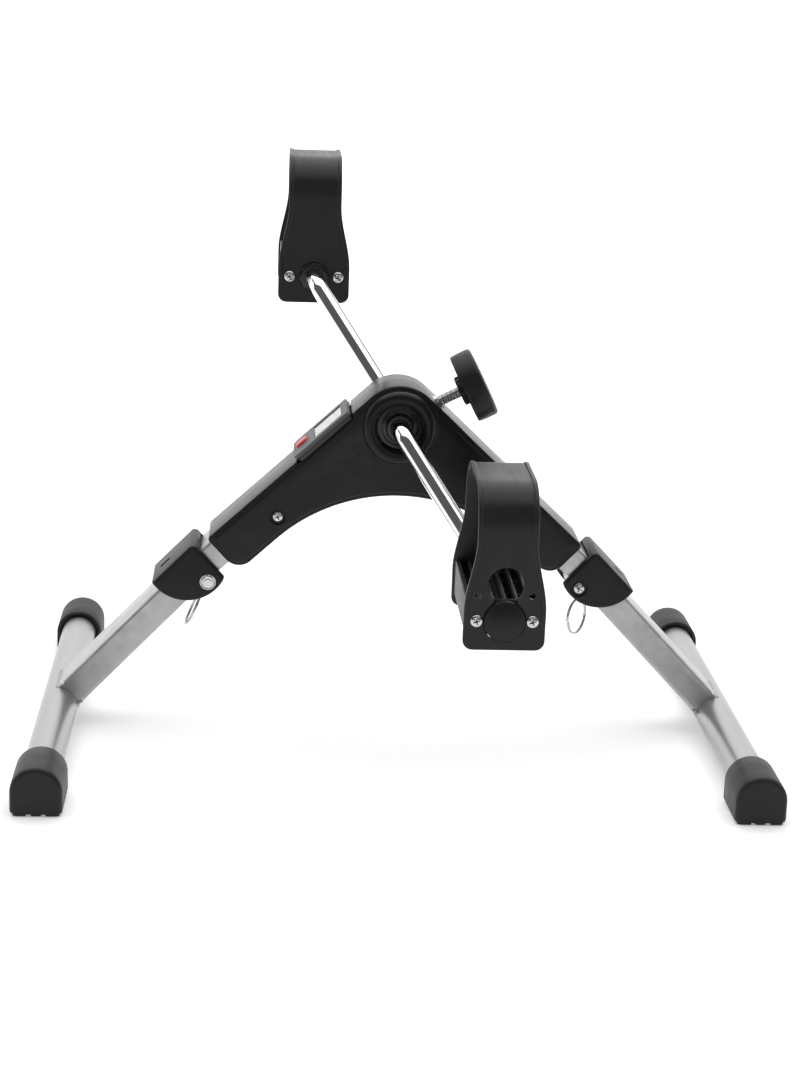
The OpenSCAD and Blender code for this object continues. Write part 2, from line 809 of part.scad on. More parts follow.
// Half of the strap's width at height z: wide at the pedal, narrow over the foot
function strap_half_w(z) = let (t = min(max((z - 6) / 46, 0), 1), s = t * t * (3 - 2 * t))
    (strap_low_w * (1 - s) + strap_top_w * s) / 2;

module strap_outline(inset) {
    steps = 10;
    rise = [for (i = [0 : steps]) 6 + 46 * i / steps];
    side_points = concat([[strap_low_w / 2 - inset, -strap_low_z + 6]],
        [for (z = rise) [strap_half_w(z) - inset, z]],
        [[strap_top_w / 2 - inset, strap_top_z + 5]]);
    mirrored = [for (i = [len(side_points) - 1 : -1 : 0]) [-side_points[i][0], side_points[i][1]]];
    polygon(concat(side_points, mirrored));
    low_r = 6 - min(inset, 3);
    for (x = [-1, 1]) translate([x * (strap_low_w / 2 - 6 - inset + 6 - low_r), -strap_low_z + 6])
        circle(low_r);
    translate([-strap_low_w / 2 + 6, -strap_low_z + 6 - low_r]) square([strap_low_w - 12, low_r + eps]);
}

module loop_profile(grow) {
    // The strap's path in the Y-Z plane as a filled arch; grow moves its outline outwards
    half = pedal_l / 2 + grow;
    top = strap_top_z + grow;
    r = strap_corner_r + grow;
    translate([-half, -strap_low_z - 5]) square([2 * half, top - r + strap_low_z + 5]);
    translate([-half + r, -strap_low_z - 5]) square([2 * (half - r), top + strap_low_z + 5]);
    for (y = [-1, 1]) translate([y * (half - r), top - r]) circle(r);
}

module loop_band(inner, outer) {
    rotate([90, 0, 90]) translate([0, 0, -40]) linear_extrude(80) difference() {
        loop_profile(outer);
        loop_profile(inner);
    }
}

module strap(side) {
    color([0.1, 0.1, 0.1]) at_pedal(side) difference() {
        union() {
            intersection() {
                loop_band(-strap_t, 0);
                along_y(-60, 60) strap_outline(0);
            }
            // Raised edges
            intersection() {
                loop_band(-strap_t + eps, strap_bead);
                difference() {
                    along_y(-60, 60) strap_outline(0);
                    along_y(-61, 61) strap_outline(strap_bead_w);
                }
                box(-40, 40, -60, 60, -2, 120);
            }
        }
        // Openings at the outer end
        rod_y(cap_hole_r, -60, -20);
        translate([0, 0, 23.5]) rod_y(11.5, -60, -20);
        box(-8, 8, -60, -20, 10, 23);
        for (x = [-1, 1]) translate([x * (strap_screw_x - 0.7), 0, 16.5]) rod_y(2, -60, -20);
        // Round hole for the bush at the inner end
        rod_y(11, 20, 60);
        for (x = [-1, 1]) translate([x * strap_screw_x, 0, 0]) rod_y(1.8, -60, 60);
    }
}

module strap_screws(side) {
    half_l = pedal_l / 2;
    color([0.8, 0.8, 0.82]) at_pedal(side) for (x = [-1, 1], y = [0, 1])
        mirror([0, y, 0]) translate([x * strap_screw_x, -half_l, 0]) rotate([-90, 0, 0])
            pan_head_screw(1.6, 4.15, 2, strap_t + 11);
}

module axle_cap(side) {
    half_l = pedal_l / 2;
    dome_h = 3;
    dome_r = (cap_r * cap_r + dome_h * dome_h) / (2 * dome_h);
    color([0.1, 0.1, 0.1]) at_pedal(side) translate([0, -half_l + strap_t, 0]) rotate([90, 0, 0])
        difference() {
            union() {
                cylinder(r = cap_r, h = strap_t + 1);
                intersection() {
                    translate([0, 0, strap_t + 1 + dome_h - dome_r]) sphere(dome_r, $fn = 96);
                    cylinder(r = cap_r, h = 20);
                }
                difference() {
                    translate([0, 0, -2.6]) cylinder(r = 10, h = 2.7);
                    translate([0, 0, -4]) cylinder(r = 8.6, h = 4);
                }
            }
            translate([0, 0, -1]) cylinder(r = 8.6, h = 3.6);
        }
}

module pedal_bush(side) {
    half_l = pedal_l / 2;
    color([0.12, 0.12, 0.12]) at_pedal(side) difference() {
        union() {
            rod_y(bush_r, half_l - strap_t - 16, half_l - strap_t);
            rod_y(10.5, half_l - strap_t - eps, half_l + 0.6);
            rod_y(bush_r, half_l - strap_t, half_l + 3);
            for (i = [0 : 7]) rotate([0, i * 45, 0])
                box(8, 10.5, half_l, half_l + 2.2, -1.5, 1.5);
        }
        rod_y(rod_d / 2 + run_gap, 0, 100);
    }
}

module axle_clip(side) {
    y = -axle_end_y + 2;
    color([0.6, 0.6, 0.6]) translate([-side * axle_x, 0, crank_z + side * axle_dz])
        mirror([0, side > 0 ? 1 : 0, 0]) difference() {
            rod_y(8, y, y + 1.2);
            rod_y(rod_d / 2 - 1, y - 1, y + 3);
            rotate([0, 40, 0]) box(0, 20, y - 1, y + 3, -2.5, 2.5);
        }
}

// ================= nodes =================

module housing_right_shell() { color([0.1, 0.1, 0.1]) housing_shell(right); }
module housing_left_shell() { color([0.1, 0.1, 0.1]) housing_shell(left); }

housing_right_shell();
housing_left_shell();
housing_screws();
upper_leg(rear);  // rear_upper_leg
upper_leg(front);  // front_upper_leg
hub_tube();
crank_bush(right);  // right_crank_bush
crank_bush(left);  // left_crank_bush
crank_rod();
brake_drum();
sensor_magnet();
tension_insert();
brake_shoe();
brake_pad();
tension_screw();
tension_knob();
display_case();
display_bezel();
display_window();
lcd_panel();
circuit_board();
coin_cell();
battery_clip();
reset_button();
button_dome();
reed_switch();
sensor_wire();
lower_leg(rear);  // rear_lower_leg
lower_leg(front);  // front_lower_leg
floor_bar(rear);  // rear_floor_bar
floor_bar(front);  // front_floor_bar
foot_cap(rear, right);  // rear_right_foot_cap
foot_cap(rear, left);  // rear_left_foot_cap
foot_cap(front, right);  // front_right_foot_cap
foot_cap(front, left);  // front_left_foot_cap
knuckle(rear);  // rear_knuckle
knuckle(front);  // front_knuckle
pivot_bolt(rear);  // rear_pivot_bolt
pivot_bolt(front);  // front_pivot_bolt
pivot_nut(rear);  // rear_pivot_nut
pivot_nut(front);  // front_pivot_nut
lock_pin(rear);  // rear_lock_pin
lock_pin(front);  // front_lock_pin
lock_spring(rear);  // rear_lock_spring
lock_spring(front);  // front_lock_spring
pull_ring(rear);  // rear_pull_ring
pull_ring(front);  // front_pull_ring
pedal(right);  // right_pedal
pedal(left);  // left_pedal
strap(right);  // right_strap
strap(left);  // left_strap
strap_screws(right);  // right_strap_screws
strap_screws(left);  // left_strap_screws
axle_cap(right);  // right_axle_cap
axle_cap(left);  // left_axle_cap
pedal_bush(right);  // right_pedal_bush
pedal_bush(left);  // left_pedal_bush
axle_clip(right);  // right_axle_clip
axle_clip(left);  // left_axle_clip
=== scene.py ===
import math
import random

import bmesh
import bpy
from mathutils import Matrix, Vector

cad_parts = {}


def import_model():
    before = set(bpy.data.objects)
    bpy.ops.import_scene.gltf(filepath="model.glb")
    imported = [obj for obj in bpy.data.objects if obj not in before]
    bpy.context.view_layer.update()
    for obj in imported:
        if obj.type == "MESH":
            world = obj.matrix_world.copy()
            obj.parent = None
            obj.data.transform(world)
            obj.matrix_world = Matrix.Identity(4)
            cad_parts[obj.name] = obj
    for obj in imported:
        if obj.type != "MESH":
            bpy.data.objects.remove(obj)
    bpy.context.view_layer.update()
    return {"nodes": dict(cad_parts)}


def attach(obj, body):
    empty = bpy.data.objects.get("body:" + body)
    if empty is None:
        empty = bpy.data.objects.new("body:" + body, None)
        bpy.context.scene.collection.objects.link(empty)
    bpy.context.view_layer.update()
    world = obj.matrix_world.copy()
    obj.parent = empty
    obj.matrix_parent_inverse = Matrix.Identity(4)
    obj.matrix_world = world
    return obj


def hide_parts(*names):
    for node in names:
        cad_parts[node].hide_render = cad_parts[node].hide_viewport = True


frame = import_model()
NODES = frame["nodes"]
MM = 0.001
SHARP, SOFT_SHARP = math.radians(32), math.radians(40)

# Sizes the maker works from, in millimetres and degrees
PIVOT_X, PIVOT_Z, ARM_ANGLE = 131.0, 110.0, 42.8
CRANK_Z, THROW, CRANK_ANGLE = 223.5, 102.6, 54.6
TUBE_W, TUBE_T, TUBE_WALL, TUBE_CORNER, LEG_LENGTH = 40.0, 20.0, 1.5, 2.2, 139.9
FOOT_RUN, FOOT_DROP = 104, 94
LEG_ANGLE = math.degrees(math.atan2(FOOT_DROP, FOOT_RUN)
                         + math.asin(TUBE_T / 2 / math.hypot(FOOT_RUN, FOOT_DROP)))
BAR_X, BAR_Z, BAR_R, BAR_BORE, BAR_END = 235.0, 16.0, 12.7, 11.2, 186.5
CAP_R, CAP_BASE, CAP_INNER, CAP_LIP = 17, 16, 148.0, 14.3
HUB_R, SHELL_Y, PANEL_Y, PANEL_MARGIN, WALL = 29.0, 22.5, 24.5, 3.0, 2.2
ARCH_TOP, UNDERSIDE, HOUSING_END, HOUSING_CORNER, HOUSING_BROW = 174.4, 9, 20, 12, 3.0
COVER_SCREW_U, COVER_SCREW_M = -68, 2.7
KNOB_ANGLE, KNOB_S, KNOB_T, KNOB_R = 27.0, 51.0, 16.0, 25.0
SCREW_PITCH, THREAD_TURNS, THREAD_START = 1.25, 20.0, 27
ROD_R, INNER_BEND, OUTER_BEND, BEND_R, ROD_END, BEND_STEPS = 6.35, 36.0, 88.0, 15.0, 196.0, 14
KNUCKLE_HALF, KNUCKLE_SOFT, HINGE_BOLT_R, HINGE_BARREL_R = 24.5, 2.2, 3.05, 6.5
LATCH_R, LATCH_ROOM, LATCH_HALF = 20.8, 21.3, 4
LOCK_U, EYE_M, RING_R, PIN_HOLE_R = 14.0, -7.2, 12.6, 2.5
PEDAL_Y, PEDAL_HALF, AXLE_BORE, STRAP_SCREW_X = 151.5, 48.5, 6.43, 17.7
STRAP_TOP, STRAP_LOW, STRAP_T, STRAP_CORNER, STRAP_ROUND, STRAP_BEAD = 85.0, 19.0, 2.4, 26.0, 6, 0.8
AXLE_CAP_R, AXLE_CAP_HOLE, AXLE_CAP_CROWN = 13.3, 13.9, 3.0
FOOT_HOLE_R, FOOT_HOLE_Z = 11.5, 23.5
KEY_U, KEY_Y = -112, 2
# Head radius, head height, shank radius and shank length of each kind of screw
STRAP_SCREW, COVER_SCREW, PIVOT_SCREW = (4.15, 2.0, 1.6, 12), (4.15, 1.9, 2.0, 44), (4.2, 2.0, 3.0, 46)


# ---------------------------------------------------------------- places

def sin_d(angle):
    return math.sin(math.radians(angle))


def cos_d(angle):
    return math.cos(math.radians(angle))


def spin(angle, axis):
    return Matrix.Rotation(math.radians(angle), 4, axis)


def move(x, y, z):
    return Matrix.Translation((x, y, z))


STAY = Matrix.Identity(4)
FLIP_Y = Matrix.Scale(-1, 4, (0, 1, 0))
AXLE_TO_Y = spin(-90, "X")


def pivot_place(side, angle=ARM_ANGLE):
    """The knuckle's frame: X out along the arm, Z square to it. side is 1 at the front, -1 at the rear."""
    return Matrix.Scale(side, 4, (1, 0, 0)) @ move(PIVOT_X, 0, PIVOT_Z) @ spin(angle, "Y")


def leg_place(side):
    return pivot_place(side, LEG_ANGLE)


def bar_place(side):
    return move(side * BAR_X, 0, BAR_Z)


def crank_place():
    return move(0, 0, CRANK_Z) @ spin(CRANK_ANGLE, "Y")


def knob_place():
    return move(0, 0, CRANK_Z) @ spin(90 - KNOB_ANGLE, "Y")


def pedal_place(side):
    """The pedal's frame, with its outer end at -Y. side is -1 on the right, 1 on the left."""
    x, z = -side * THROW * cos_d(CRANK_ANGLE), CRANK_Z + side * THROW * sin_d(CRANK_ANGLE)
    return move(x, 0, z) @ (FLIP_Y if side > 0 else STAY) @ move(0, -PEDAL_Y, 0)


def hand_word(side):
    return "right" if side < 0 else "left"


def end_word(side):
    return "rear" if side < 0 else "front"


# ---------------------------------------------------------------- outlines

def arc(centre, radius, start, end, steps):
    return [(centre[0] + radius * cos_d(start + (end - start) * i / steps),
             centre[1] + radius * sin_d(start + (end - start) * i / steps)) for i in range(steps + 1)]


def rounded_box(half_x, half_y, radius, steps=5):
    """Rectangle about the origin with rounded corners."""
    pts = []
    for cx, cy, start in ((1, 1, 0), (-1, 1, 90), (-1, -1, 180), (1, -1, 270)):
        pts += arc((cx * (half_x - radius), cy * (half_y - radius)), radius, start, start + 90, steps)
    return pts


def rounding(radius, height, angles=(22, 45, 68, 90)):
    """(inset, height) steps up a rounded edge that ends at the given height."""
    return [(radius - radius * cos_d(t), height - radius + radius * sin_d(t)) for t in angles]


# ---------------------------------------------------------------- mesh tools

def add_object(name, mesh):
    obj = bpy.data.objects.new(name, mesh)
    bpy.context.scene.collection.objects.link(obj)
    return obj


def smooth_faces(mesh, sharp=SHARP):
    for poly in mesh.polygons:
        poly.use_smooth = True
    mesh.set_sharp_from_angle(angle=sharp)


def tidy_mesh(mesh, place=None, sharp=SHARP):
    """Closes doubles, turns the faces outwards and marks the edges that stay crisp."""
    bm = bmesh.new()
    bm.from_mesh(mesh)
    if place is not None:
        bmesh.ops.transform(bm, matrix=place, verts=bm.verts)
    bmesh.ops.remove_doubles(bm, verts=bm.verts, dist=1e-6)
    bmesh.ops.recalc_face_normals(bm, faces=bm.faces)
    bm.to_mesh(mesh)
    bm.free()
    smooth_faces(mesh, sharp)
    mesh.update()


def make_piece(name, verts, faces, place=STAY, sharp=SHARP):
    """A piece from points in millimetres, put in its place in metres."""
    mesh = bpy.data.meshes.new(name)
    mesh.from_pydata([tuple(v) for v in verts], [], faces)
    tidy_mesh(mesh, Matrix.Scale(MM, 4) @ place, sharp)
    return add_object(name, mesh)


def loft(rings, closed=True, caps=True):
    """Skins a list of rings of points that all have the same count."""
    n = len(rings[0])
    verts = [p for ring in rings for p in ring]
    faces = []
    for i in range(len(rings) - 1):
        for j in range(n if closed else n - 1):
            k = (j + 1) % n
            faces.append((i * n + j, i * n + k, (i + 1) * n + k, (i + 1) * n + j))
    if caps:
        faces.append(tuple(range(n - 1, -1, -1)))
        faces.append(tuple(range((len(rings) - 1) * n, len(rings) * n)))
    return verts, faces


def turned(profile, steps=96):
    """A body of revolution about Z from (radius, height) points, closed on the axis where a radius is 0."""
    verts, faces, rows = [], [], []
    for r, z in profile:
        if r == 0:
            rows.append([len(verts)])
            verts.append((0, 0, z))
        else:
            rows.append(list(range(len(verts), len(verts) + steps)))
            verts += [(r * cos_d(360 * k / steps), r * sin_d(360 * k / steps), z) for k in range(steps)]
    for lower, upper in zip(rows, rows[1:]):
        for k in range(steps):
            m = (k + 1) % steps
            corners = [lower[k % len(lower)], lower[m % len(lower)], upper[m % len(upper)],
                       upper[k % len(upper)]]
            face = tuple(dict.fromkeys(corners))
            if len(face) > 2:
                faces.append(face)
    return verts, faces


def swept(path, radius, steps):
    """A round bar along a path in the X-Y plane."""
    pts = [Vector(p) for p in path]
    rings = []
    for i, p in enumerate(pts):
        ahead, behind = pts[min(i + 1, len(pts) - 1)], pts[max(i - 1, 0)]
        along = (ahead - behind).normalized()
        across = Vector((along.y, -along.x, 0))
        rings.append([p + across * radius * cos_d(360 * k / steps)
                      + Vector((0, 0, 1)) * radius * sin_d(360 * k / steps)
                      for k in range(steps)])
    return loft(rings)


def bake(obj):
    """Turns a piece's modifiers into a plain mesh."""
    graph = bpy.context.evaluated_depsgraph_get()
    graph.update()
    mesh = bpy.data.meshes.new_from_object(obj.evaluated_get(graph))
    obj.modifiers.clear()
    old, obj.data = obj.data, mesh
    mesh.name = obj.name
    bpy.data.meshes.remove(old)


def cut_from(obj, cutters):
    """Cuts closed shapes out of a piece."""
    for cutter in cutters:
        change = obj.modifiers.new("cut", "BOOLEAN")
        change.operation = "DIFFERENCE"
        change.solver = "EXACT"
        change.object = cutter
    bake(obj)
    for cutter in cutters:
        bpy.data.objects.remove(cutter)
    tidy_mesh(obj.data)
    return obj


def softened(name, node, width, steps=2, angle=35):
    """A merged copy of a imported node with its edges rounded."""
    obj = add_object(name, NODES[node].data.copy())
    obj.data.name = name
    obj.data.materials.clear()
    bm = bmesh.new()
    bm.from_mesh(obj.data)
    bmesh.ops.remove_doubles(bm, verts=bm.verts, dist=2e-6)
    bmesh.ops.dissolve_limit(bm, angle_limit=math.radians(0.6), verts=bm.verts, edges=bm.edges)
    bm.to_mesh(obj.data)
    bm.free()
    edge = obj.modifiers.new("edge", "BEVEL")
    edge.width = width * MM
    edge.segments = steps
    edge.limit_method = "ANGLE"
    edge.angle_limit = math.radians(angle)
    bake(obj)
    smooth_faces(obj.data)
    return obj


def block(name, x0, x1, y0, y1, z0, z1, place=STAY):
    """A block with flat sides, often used as a cutter."""
    corners = [(x, y, z) for x in (x0, x1) for y in (y0, y1) for z in (z0, z1)]
    faces = [(0, 1, 3, 2), (4, 6, 7, 5), (0, 4, 5, 1), (2, 3, 7, 6), (0, 2, 6, 4), (1, 5, 7, 3)]
    return make_piece(name, corners, faces, place)


def drill(name, radius, z0, z1, place=STAY, steps=64):
    """A plain cylinder along Z, often used as a cutter."""
    return make_piece(name, *turned([(0, z0), (radius, z0), (radius, z1), (0, z1)], steps), place)


def joined(name, parts):
    """Several meshes as one piece."""
    bm = bmesh.new()
    for part in parts:
        bm.from_mesh(part.data)
    mesh = bpy.data.meshes.new(name)
    bm.to_mesh(mesh)
    bm.free()
    for part in parts:
        bpy.data.objects.remove(part)
    smooth_faces(mesh)
    return add_object(name, mesh)


# ---------------------------------------------------------------- finishes

def shader_group(name, inputs, output):
    tree = bpy.data.node_groups.new(name, "ShaderNodeTree")
    for label, kind, value in inputs:
        tree.interface.new_socket(label, in_out="INPUT", socket_type=kind).default_value = value
    for label in output:
        tree.interface.new_socket(label, in_out="OUTPUT", socket_type="NodeSocketFloat")
    return tree, tree.nodes.new("NodeGroupInput").outputs, tree.nodes.new("NodeGroupOutput").inputs


def place_group(tree, group, **values):
    """Puts a shader group in a tree; underscores in the keys stand for spaces in its inputs' names."""
    node = tree.nodes.new("ShaderNodeGroup")
    node.node_tree = group
    for label, value in values.items():
        node.inputs[label.replace("_", " ")].default_value = value
    return node.outputs


def fill(tree, socket, value):
    """Links a socket, or sets a plain value."""
    if isinstance(value, bpy.types.NodeSocket):
        tree.links.new(value, socket)
    else:
        socket.default_value = value


def math_node(tree, operation, a, b, clamp=False):
    node = tree.nodes.new("ShaderNodeMath")
    node.operation = operation
    node.use_clamp = clamp
    fill(tree, node.inputs[0], a)
    fill(tree, node.inputs[1], b)
    return node.outputs[0]


def ramp_node(tree, source, low, high, to_low=0.0, to_high=1.0):
    node = tree.nodes.new("ShaderNodeMapRange")
    for label, value in (("Value", source), ("From Min", low), ("From Max", high), ("To Min", to_low),
                         ("To Max", to_high)):
        fill(tree, node.inputs[label], value)
    return node.outputs[0]


def noise_node(tree, coords, scale, detail=3.0, rough=0.55):
    node = tree.nodes.new("ShaderNodeTexNoise")
    for label, value in (("Vector", coords), ("Scale", scale), ("Detail", detail), ("Roughness", rough)):
        fill(tree, node.inputs[label], value)
    return node.outputs["Fac"]


def mix_node(tree, factor, a, b):
    node = tree.nodes.new("ShaderNodeMix")
    node.data_type = "RGBA"
    for label, value in (("Factor", factor), ("A", a), ("B", b)):
        fill(tree, node.inputs[label], value)
    return node.outputs["Result"]


def object_coords(tree):
    return tree.nodes.new("ShaderNodeTexCoord").outputs["Object"]


def build_grain():
    """Moulded or sprayed surface: a fine height, and a slow blotch for colour and gloss."""
    tree, given, out = shader_group(
        "Surface grain",
        [("Fine Scale", "NodeSocketFloat", 900.0), ("Blotch Scale", "NodeSocketFloat", 18.0)],
        ["Height", "Blotch"])
    coords = object_coords(tree)
    fine = noise_node(tree, coords, given["Fine Scale"], 2.0, 0.6)
    cells = tree.nodes.new("ShaderNodeTexVoronoi")
    tree.links.new(coords, cells.inputs["Vector"])
    tree.links.new(given["Fine Scale"], cells.inputs["Scale"])
    tree.links.new(math_node(tree, "MULTIPLY", fine, cells.outputs["Distance"]), out["Height"])
    tree.links.new(noise_node(tree, coords, given["Blotch Scale"], 4.0), out["Blotch"])
    return tree


def build_edge_wear():
    """Mask of rubbed edges: convex places, broken up by noise."""
    tree, given, out = shader_group(
        "Edge wear", [("Start", "NodeSocketFloat", 0.53), ("Full", "NodeSocketFloat", 0.6),
                      ("Breakup Scale", "NodeSocketFloat", 120.0)], ["Mask"])
    convex = tree.nodes.new("ShaderNodeNewGeometry").outputs["Pointiness"]
    edge = ramp_node(tree, convex, given["Start"], given["Full"])
    broken = ramp_node(tree, noise_node(tree, object_coords(tree), given["Breakup Scale"]), 0.35, 0.65)
    tree.links.new(math_node(tree, "MULTIPLY", edge, broken), out["Mask"])
    return tree


def build_dust():
    """Mask of dust that settles on what faces up."""
    tree, given, out = shader_group(
        "Settled dust", [("Amount", "NodeSocketFloat", 0.1), ("Speck Scale", "NodeSocketFloat", 260.0)],
        ["Mask"])
    split = tree.nodes.new("ShaderNodeSeparateXYZ")
    tree.links.new(tree.nodes.new("ShaderNodeNewGeometry").outputs["Normal"], split.inputs[0])
    up = ramp_node(tree, split.outputs["Z"], 0.3, 1.0)
    specks = ramp_node(tree, noise_node(tree, object_coords(tree), given["Speck Scale"], 5.0, 0.7), 0.42,
                       0.72)
    cover = math_node(tree, "MULTIPLY", up, specks)
    tree.links.new(math_node(tree, "MULTIPLY", cover, given["Amount"]), out["Mask"])
    return tree


def build_scratches():
    """Fine lines left by drawing, brushing or handling, long along the given axis."""
    tree, given, out = shader_group(
        "Fine scratches", [("Stretch", "NodeSocketVector", (1.0, 1.0, 1.0)),
                           ("Line Scale", "NodeSocketFloat", 300.0)],
        ["Lines"])
    scale = tree.nodes.new("ShaderNodeVectorMath")
    scale.operation = "MULTIPLY"
    tree.links.new(object_coords(tree), scale.inputs[0])
    tree.links.new(given["Stretch"], scale.inputs[1])
    tree.links.new(noise_node(tree, scale.outputs[0], given["Line Scale"], 2.0, 0.5), out["Lines"])
    return tree


GRAIN, EDGE_WEAR, DUST, SCRATCHES = build_grain(), build_edge_wear(), build_dust(), build_scratches()
DUST_COLOUR, DUST_ROUGHENS = (0.35, 0.34, 0.33, 1), 0.5
LINES_ROUGHEN, GLOSSIEST, PLASTIC_IOR = 0.15, 0.02, 1.5


def finish_material(name, colour, roughness, *, metallic=0.0, spread=0.06, tint=0.12, grain=(900.0, 0.02),
                    blotch=18.0, wear=None, dust=0.06, lines=None, specular=0.5, sheen=0.0):
    """A finish with grain, gloss variation, rubbed edges, dust and, on metal, fine lines.

    colour is linear; spread varies the roughness and tint the colour; grain is (scale, height in mm);
    wear is the colour of rubbed edges; lines is (stretch along X, Y, Z, depth)."""
    mat = bpy.data.materials.new(name)
    mat.use_nodes = True
    tree = mat.node_tree
    shade = tree.nodes["Principled BSDF"]
    shade.inputs["Metallic"].default_value = metallic
    shade.inputs["IOR"].default_value = PLASTIC_IOR
    shade.inputs["Specular IOR Level"].default_value = specular
    shade.inputs["Sheen Weight"].default_value = sheen

    surface = place_group(tree, GRAIN, Fine_Scale=grain[0], Blotch_Scale=blotch)
    dark, light = [(*[min(1, c * k) for c in colour], 1) for k in (1 - tint, 1 + tint)]
    result = mix_node(tree, ramp_node(tree, surface["Blotch"], 0.3, 0.7), dark, light)
    rough = ramp_node(tree, surface["Blotch"], 0.25, 0.75, max(GLOSSIEST, roughness - spread),
                      min(1.0, roughness + spread))
    if wear:
        result = mix_node(tree, place_group(tree, EDGE_WEAR)["Mask"], result, (*wear, 1))
    if dust:
        settled = place_group(tree, DUST, Amount=dust)["Mask"]
        result = mix_node(tree, settled, result, DUST_COLOUR)
        rough = math_node(tree, "ADD", rough, math_node(tree, "MULTIPLY", settled, DUST_ROUGHENS))
    height = math_node(tree, "MULTIPLY", surface["Height"], grain[1])
    if lines:
        drawn = place_group(tree, SCRATCHES, Stretch=lines[0])["Lines"]
        height = math_node(tree, "ADD", height, math_node(tree, "MULTIPLY", drawn, lines[1]))
        centred = math_node(tree, "SUBTRACT", drawn, 0.5)
        rough = math_node(tree, "ADD", rough, math_node(tree, "MULTIPLY", centred, LINES_ROUGHEN), True)
    bump = tree.nodes.new("ShaderNodeBump")
    bump.inputs["Distance"].default_value = MM
    bump.inputs["Strength"].default_value = 1.0
    for source, socket in ((height, bump.inputs["Height"]), (bump.outputs[0], shade.inputs["Normal"]),
                           (result, shade.inputs["Base Color"]), (rough, shade.inputs["Roughness"])):
        tree.links.new(source, socket)
    return mat


def clear_window(name):
    mat = bpy.data.materials.new(name)
    mat.use_nodes = True
    tree = mat.node_tree
    shade = tree.nodes["Principled BSDF"]
    shade.inputs["Base Color"].default_value = (0.92, 0.95, 0.95, 1)
    shade.inputs["Transmission Weight"].default_value = 1.0
    shade.inputs["IOR"].default_value = 1.45
    smear = ramp_node(tree, noise_node(tree, object_coords(tree), 60.0), 0.3, 0.8, 0.03, 0.14)
    tree.links.new(smear, shade.inputs["Roughness"])
    return mat


BLACK = (0.0065, 0.0065, 0.0068)
WORN_BLACK = (0.04, 0.04, 0.04)
EVEN, ALONG_Z = (1, 1, 1), (1, 1, 0.1)
M = {
    "silver": finish_material("Silver paint", (0.4, 0.4, 0.405), 0.34, metallic=0.8, grain=(1500.0, 0.035),
                              tint=0.05, spread=0.05, blotch=9.0, wear=(0.5, 0.495, 0.49), dust=0.02),
    "chrome": finish_material("Chrome", (0.86, 0.865, 0.875), 0.045, metallic=1.0, spread=0.02, tint=0.02,
                              grain=(600.0, 0.002), dust=0.0, lines=(EVEN, 0.0015)),
    "housing": finish_material("Housing plastic", BLACK, 0.3, grain=(2400.0, 0.05),
                               wear=(0.028, 0.028, 0.029),
                               specular=0.24, dust=0.02),
    "knuckle": finish_material("Knuckle plastic", (0.007, 0.007, 0.0073), 0.42, grain=(2000.0, 0.07),
                               specular=0.26,
                               wear=WORN_BLACK, dust=0.04),
    "cap": finish_material("Foot cap plastic", (0.011, 0.011, 0.0113), 0.5, specular=0.32,
                           grain=(1400.0, 0.08),
                           wear=WORN_BLACK),
    "pedal": finish_material("Pedal plastic", (0.008, 0.008, 0.0083), 0.4, specular=0.3, grain=(1800.0, 0.05),
                             dust=0.05),
    "strap": finish_material("Strap rubber", (0.012, 0.012, 0.0123), 0.4, specular=0.3, grain=(1200.0, 0.03),
                             blotch=30.0, wear=(0.035, 0.035, 0.035), dust=0.03,
                             lines=((1.0, 0.06, 0.06), 0.04)),
    "knob": finish_material("Knob plastic", (0.009, 0.009, 0.0093), 0.4, specular=0.3, grain=(1600.0, 0.07),
                            wear=(0.05, 0.05, 0.05), dust=0.05),
    "bush": finish_material("Bush plastic", (0.009, 0.009, 0.0095), 0.28, grain=(1800.0, 0.02), dust=0.02),
    "screw": finish_material("Bright screw", (0.6, 0.6, 0.61), 0.24, metallic=1.0, grain=(800.0, 0.02),
                             dust=0.0,
                             lines=(EVEN, 0.02)),
    "steel": finish_material("Plain steel", (0.5, 0.5, 0.51), 0.32, metallic=1.0, dust=0.02,
                             lines=(ALONG_Z, 0.02)),
    "brass": finish_material("Brass", (0.6, 0.42, 0.16), 0.3, metallic=1.0, lines=(ALONG_Z, 0.02)),
    "felt": finish_material("Felt", (0.1, 0.075, 0.05), 0.95, grain=(2600.0, 0.4), sheen=0.5),
    "bezel": finish_material("Bezel plastic", (0.1, 0.1, 0.102), 0.48, specular=0.3, grain=(1800.0, 0.03),
                             dust=0.02),
    "display": finish_material("Display plastic", (0.008, 0.008, 0.0085), 0.22, grain=(1800.0, 0.015)),
    "lcd": finish_material("Liquid crystal", (0.46, 0.48, 0.455), 0.25, grain=(3000.0, 0.005), tint=0.06),
    "segment": finish_material("Display segment", (0.2, 0.21, 0.2), 0.3, grain=(3000.0, 0.005)),
    "button": finish_material("Red button", (0.56, 0.028, 0.018), 0.32, grain=(1500.0, 0.03), dust=0.02),
    "board": finish_material("Circuit board", (0.02, 0.15, 0.05), 0.4, grain=(1200.0, 0.05)),
    "wire": finish_material("Wire sleeve", (0.02, 0.02, 0.02), 0.5),
    "window": clear_window("Clear window"),
}


def give(obj, material, body, slot, *replaced):
    """Finishes a piece: its material, the body it moves with and the nodes it stands for; the slot argument
    is not used.
    """
    obj.data.materials.clear()
    obj.data.materials.append(M[material])
    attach(obj, body)
    if replaced:
        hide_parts(*replaced)


# ---------------------------------------------------------------- repeated shapes, as node trees

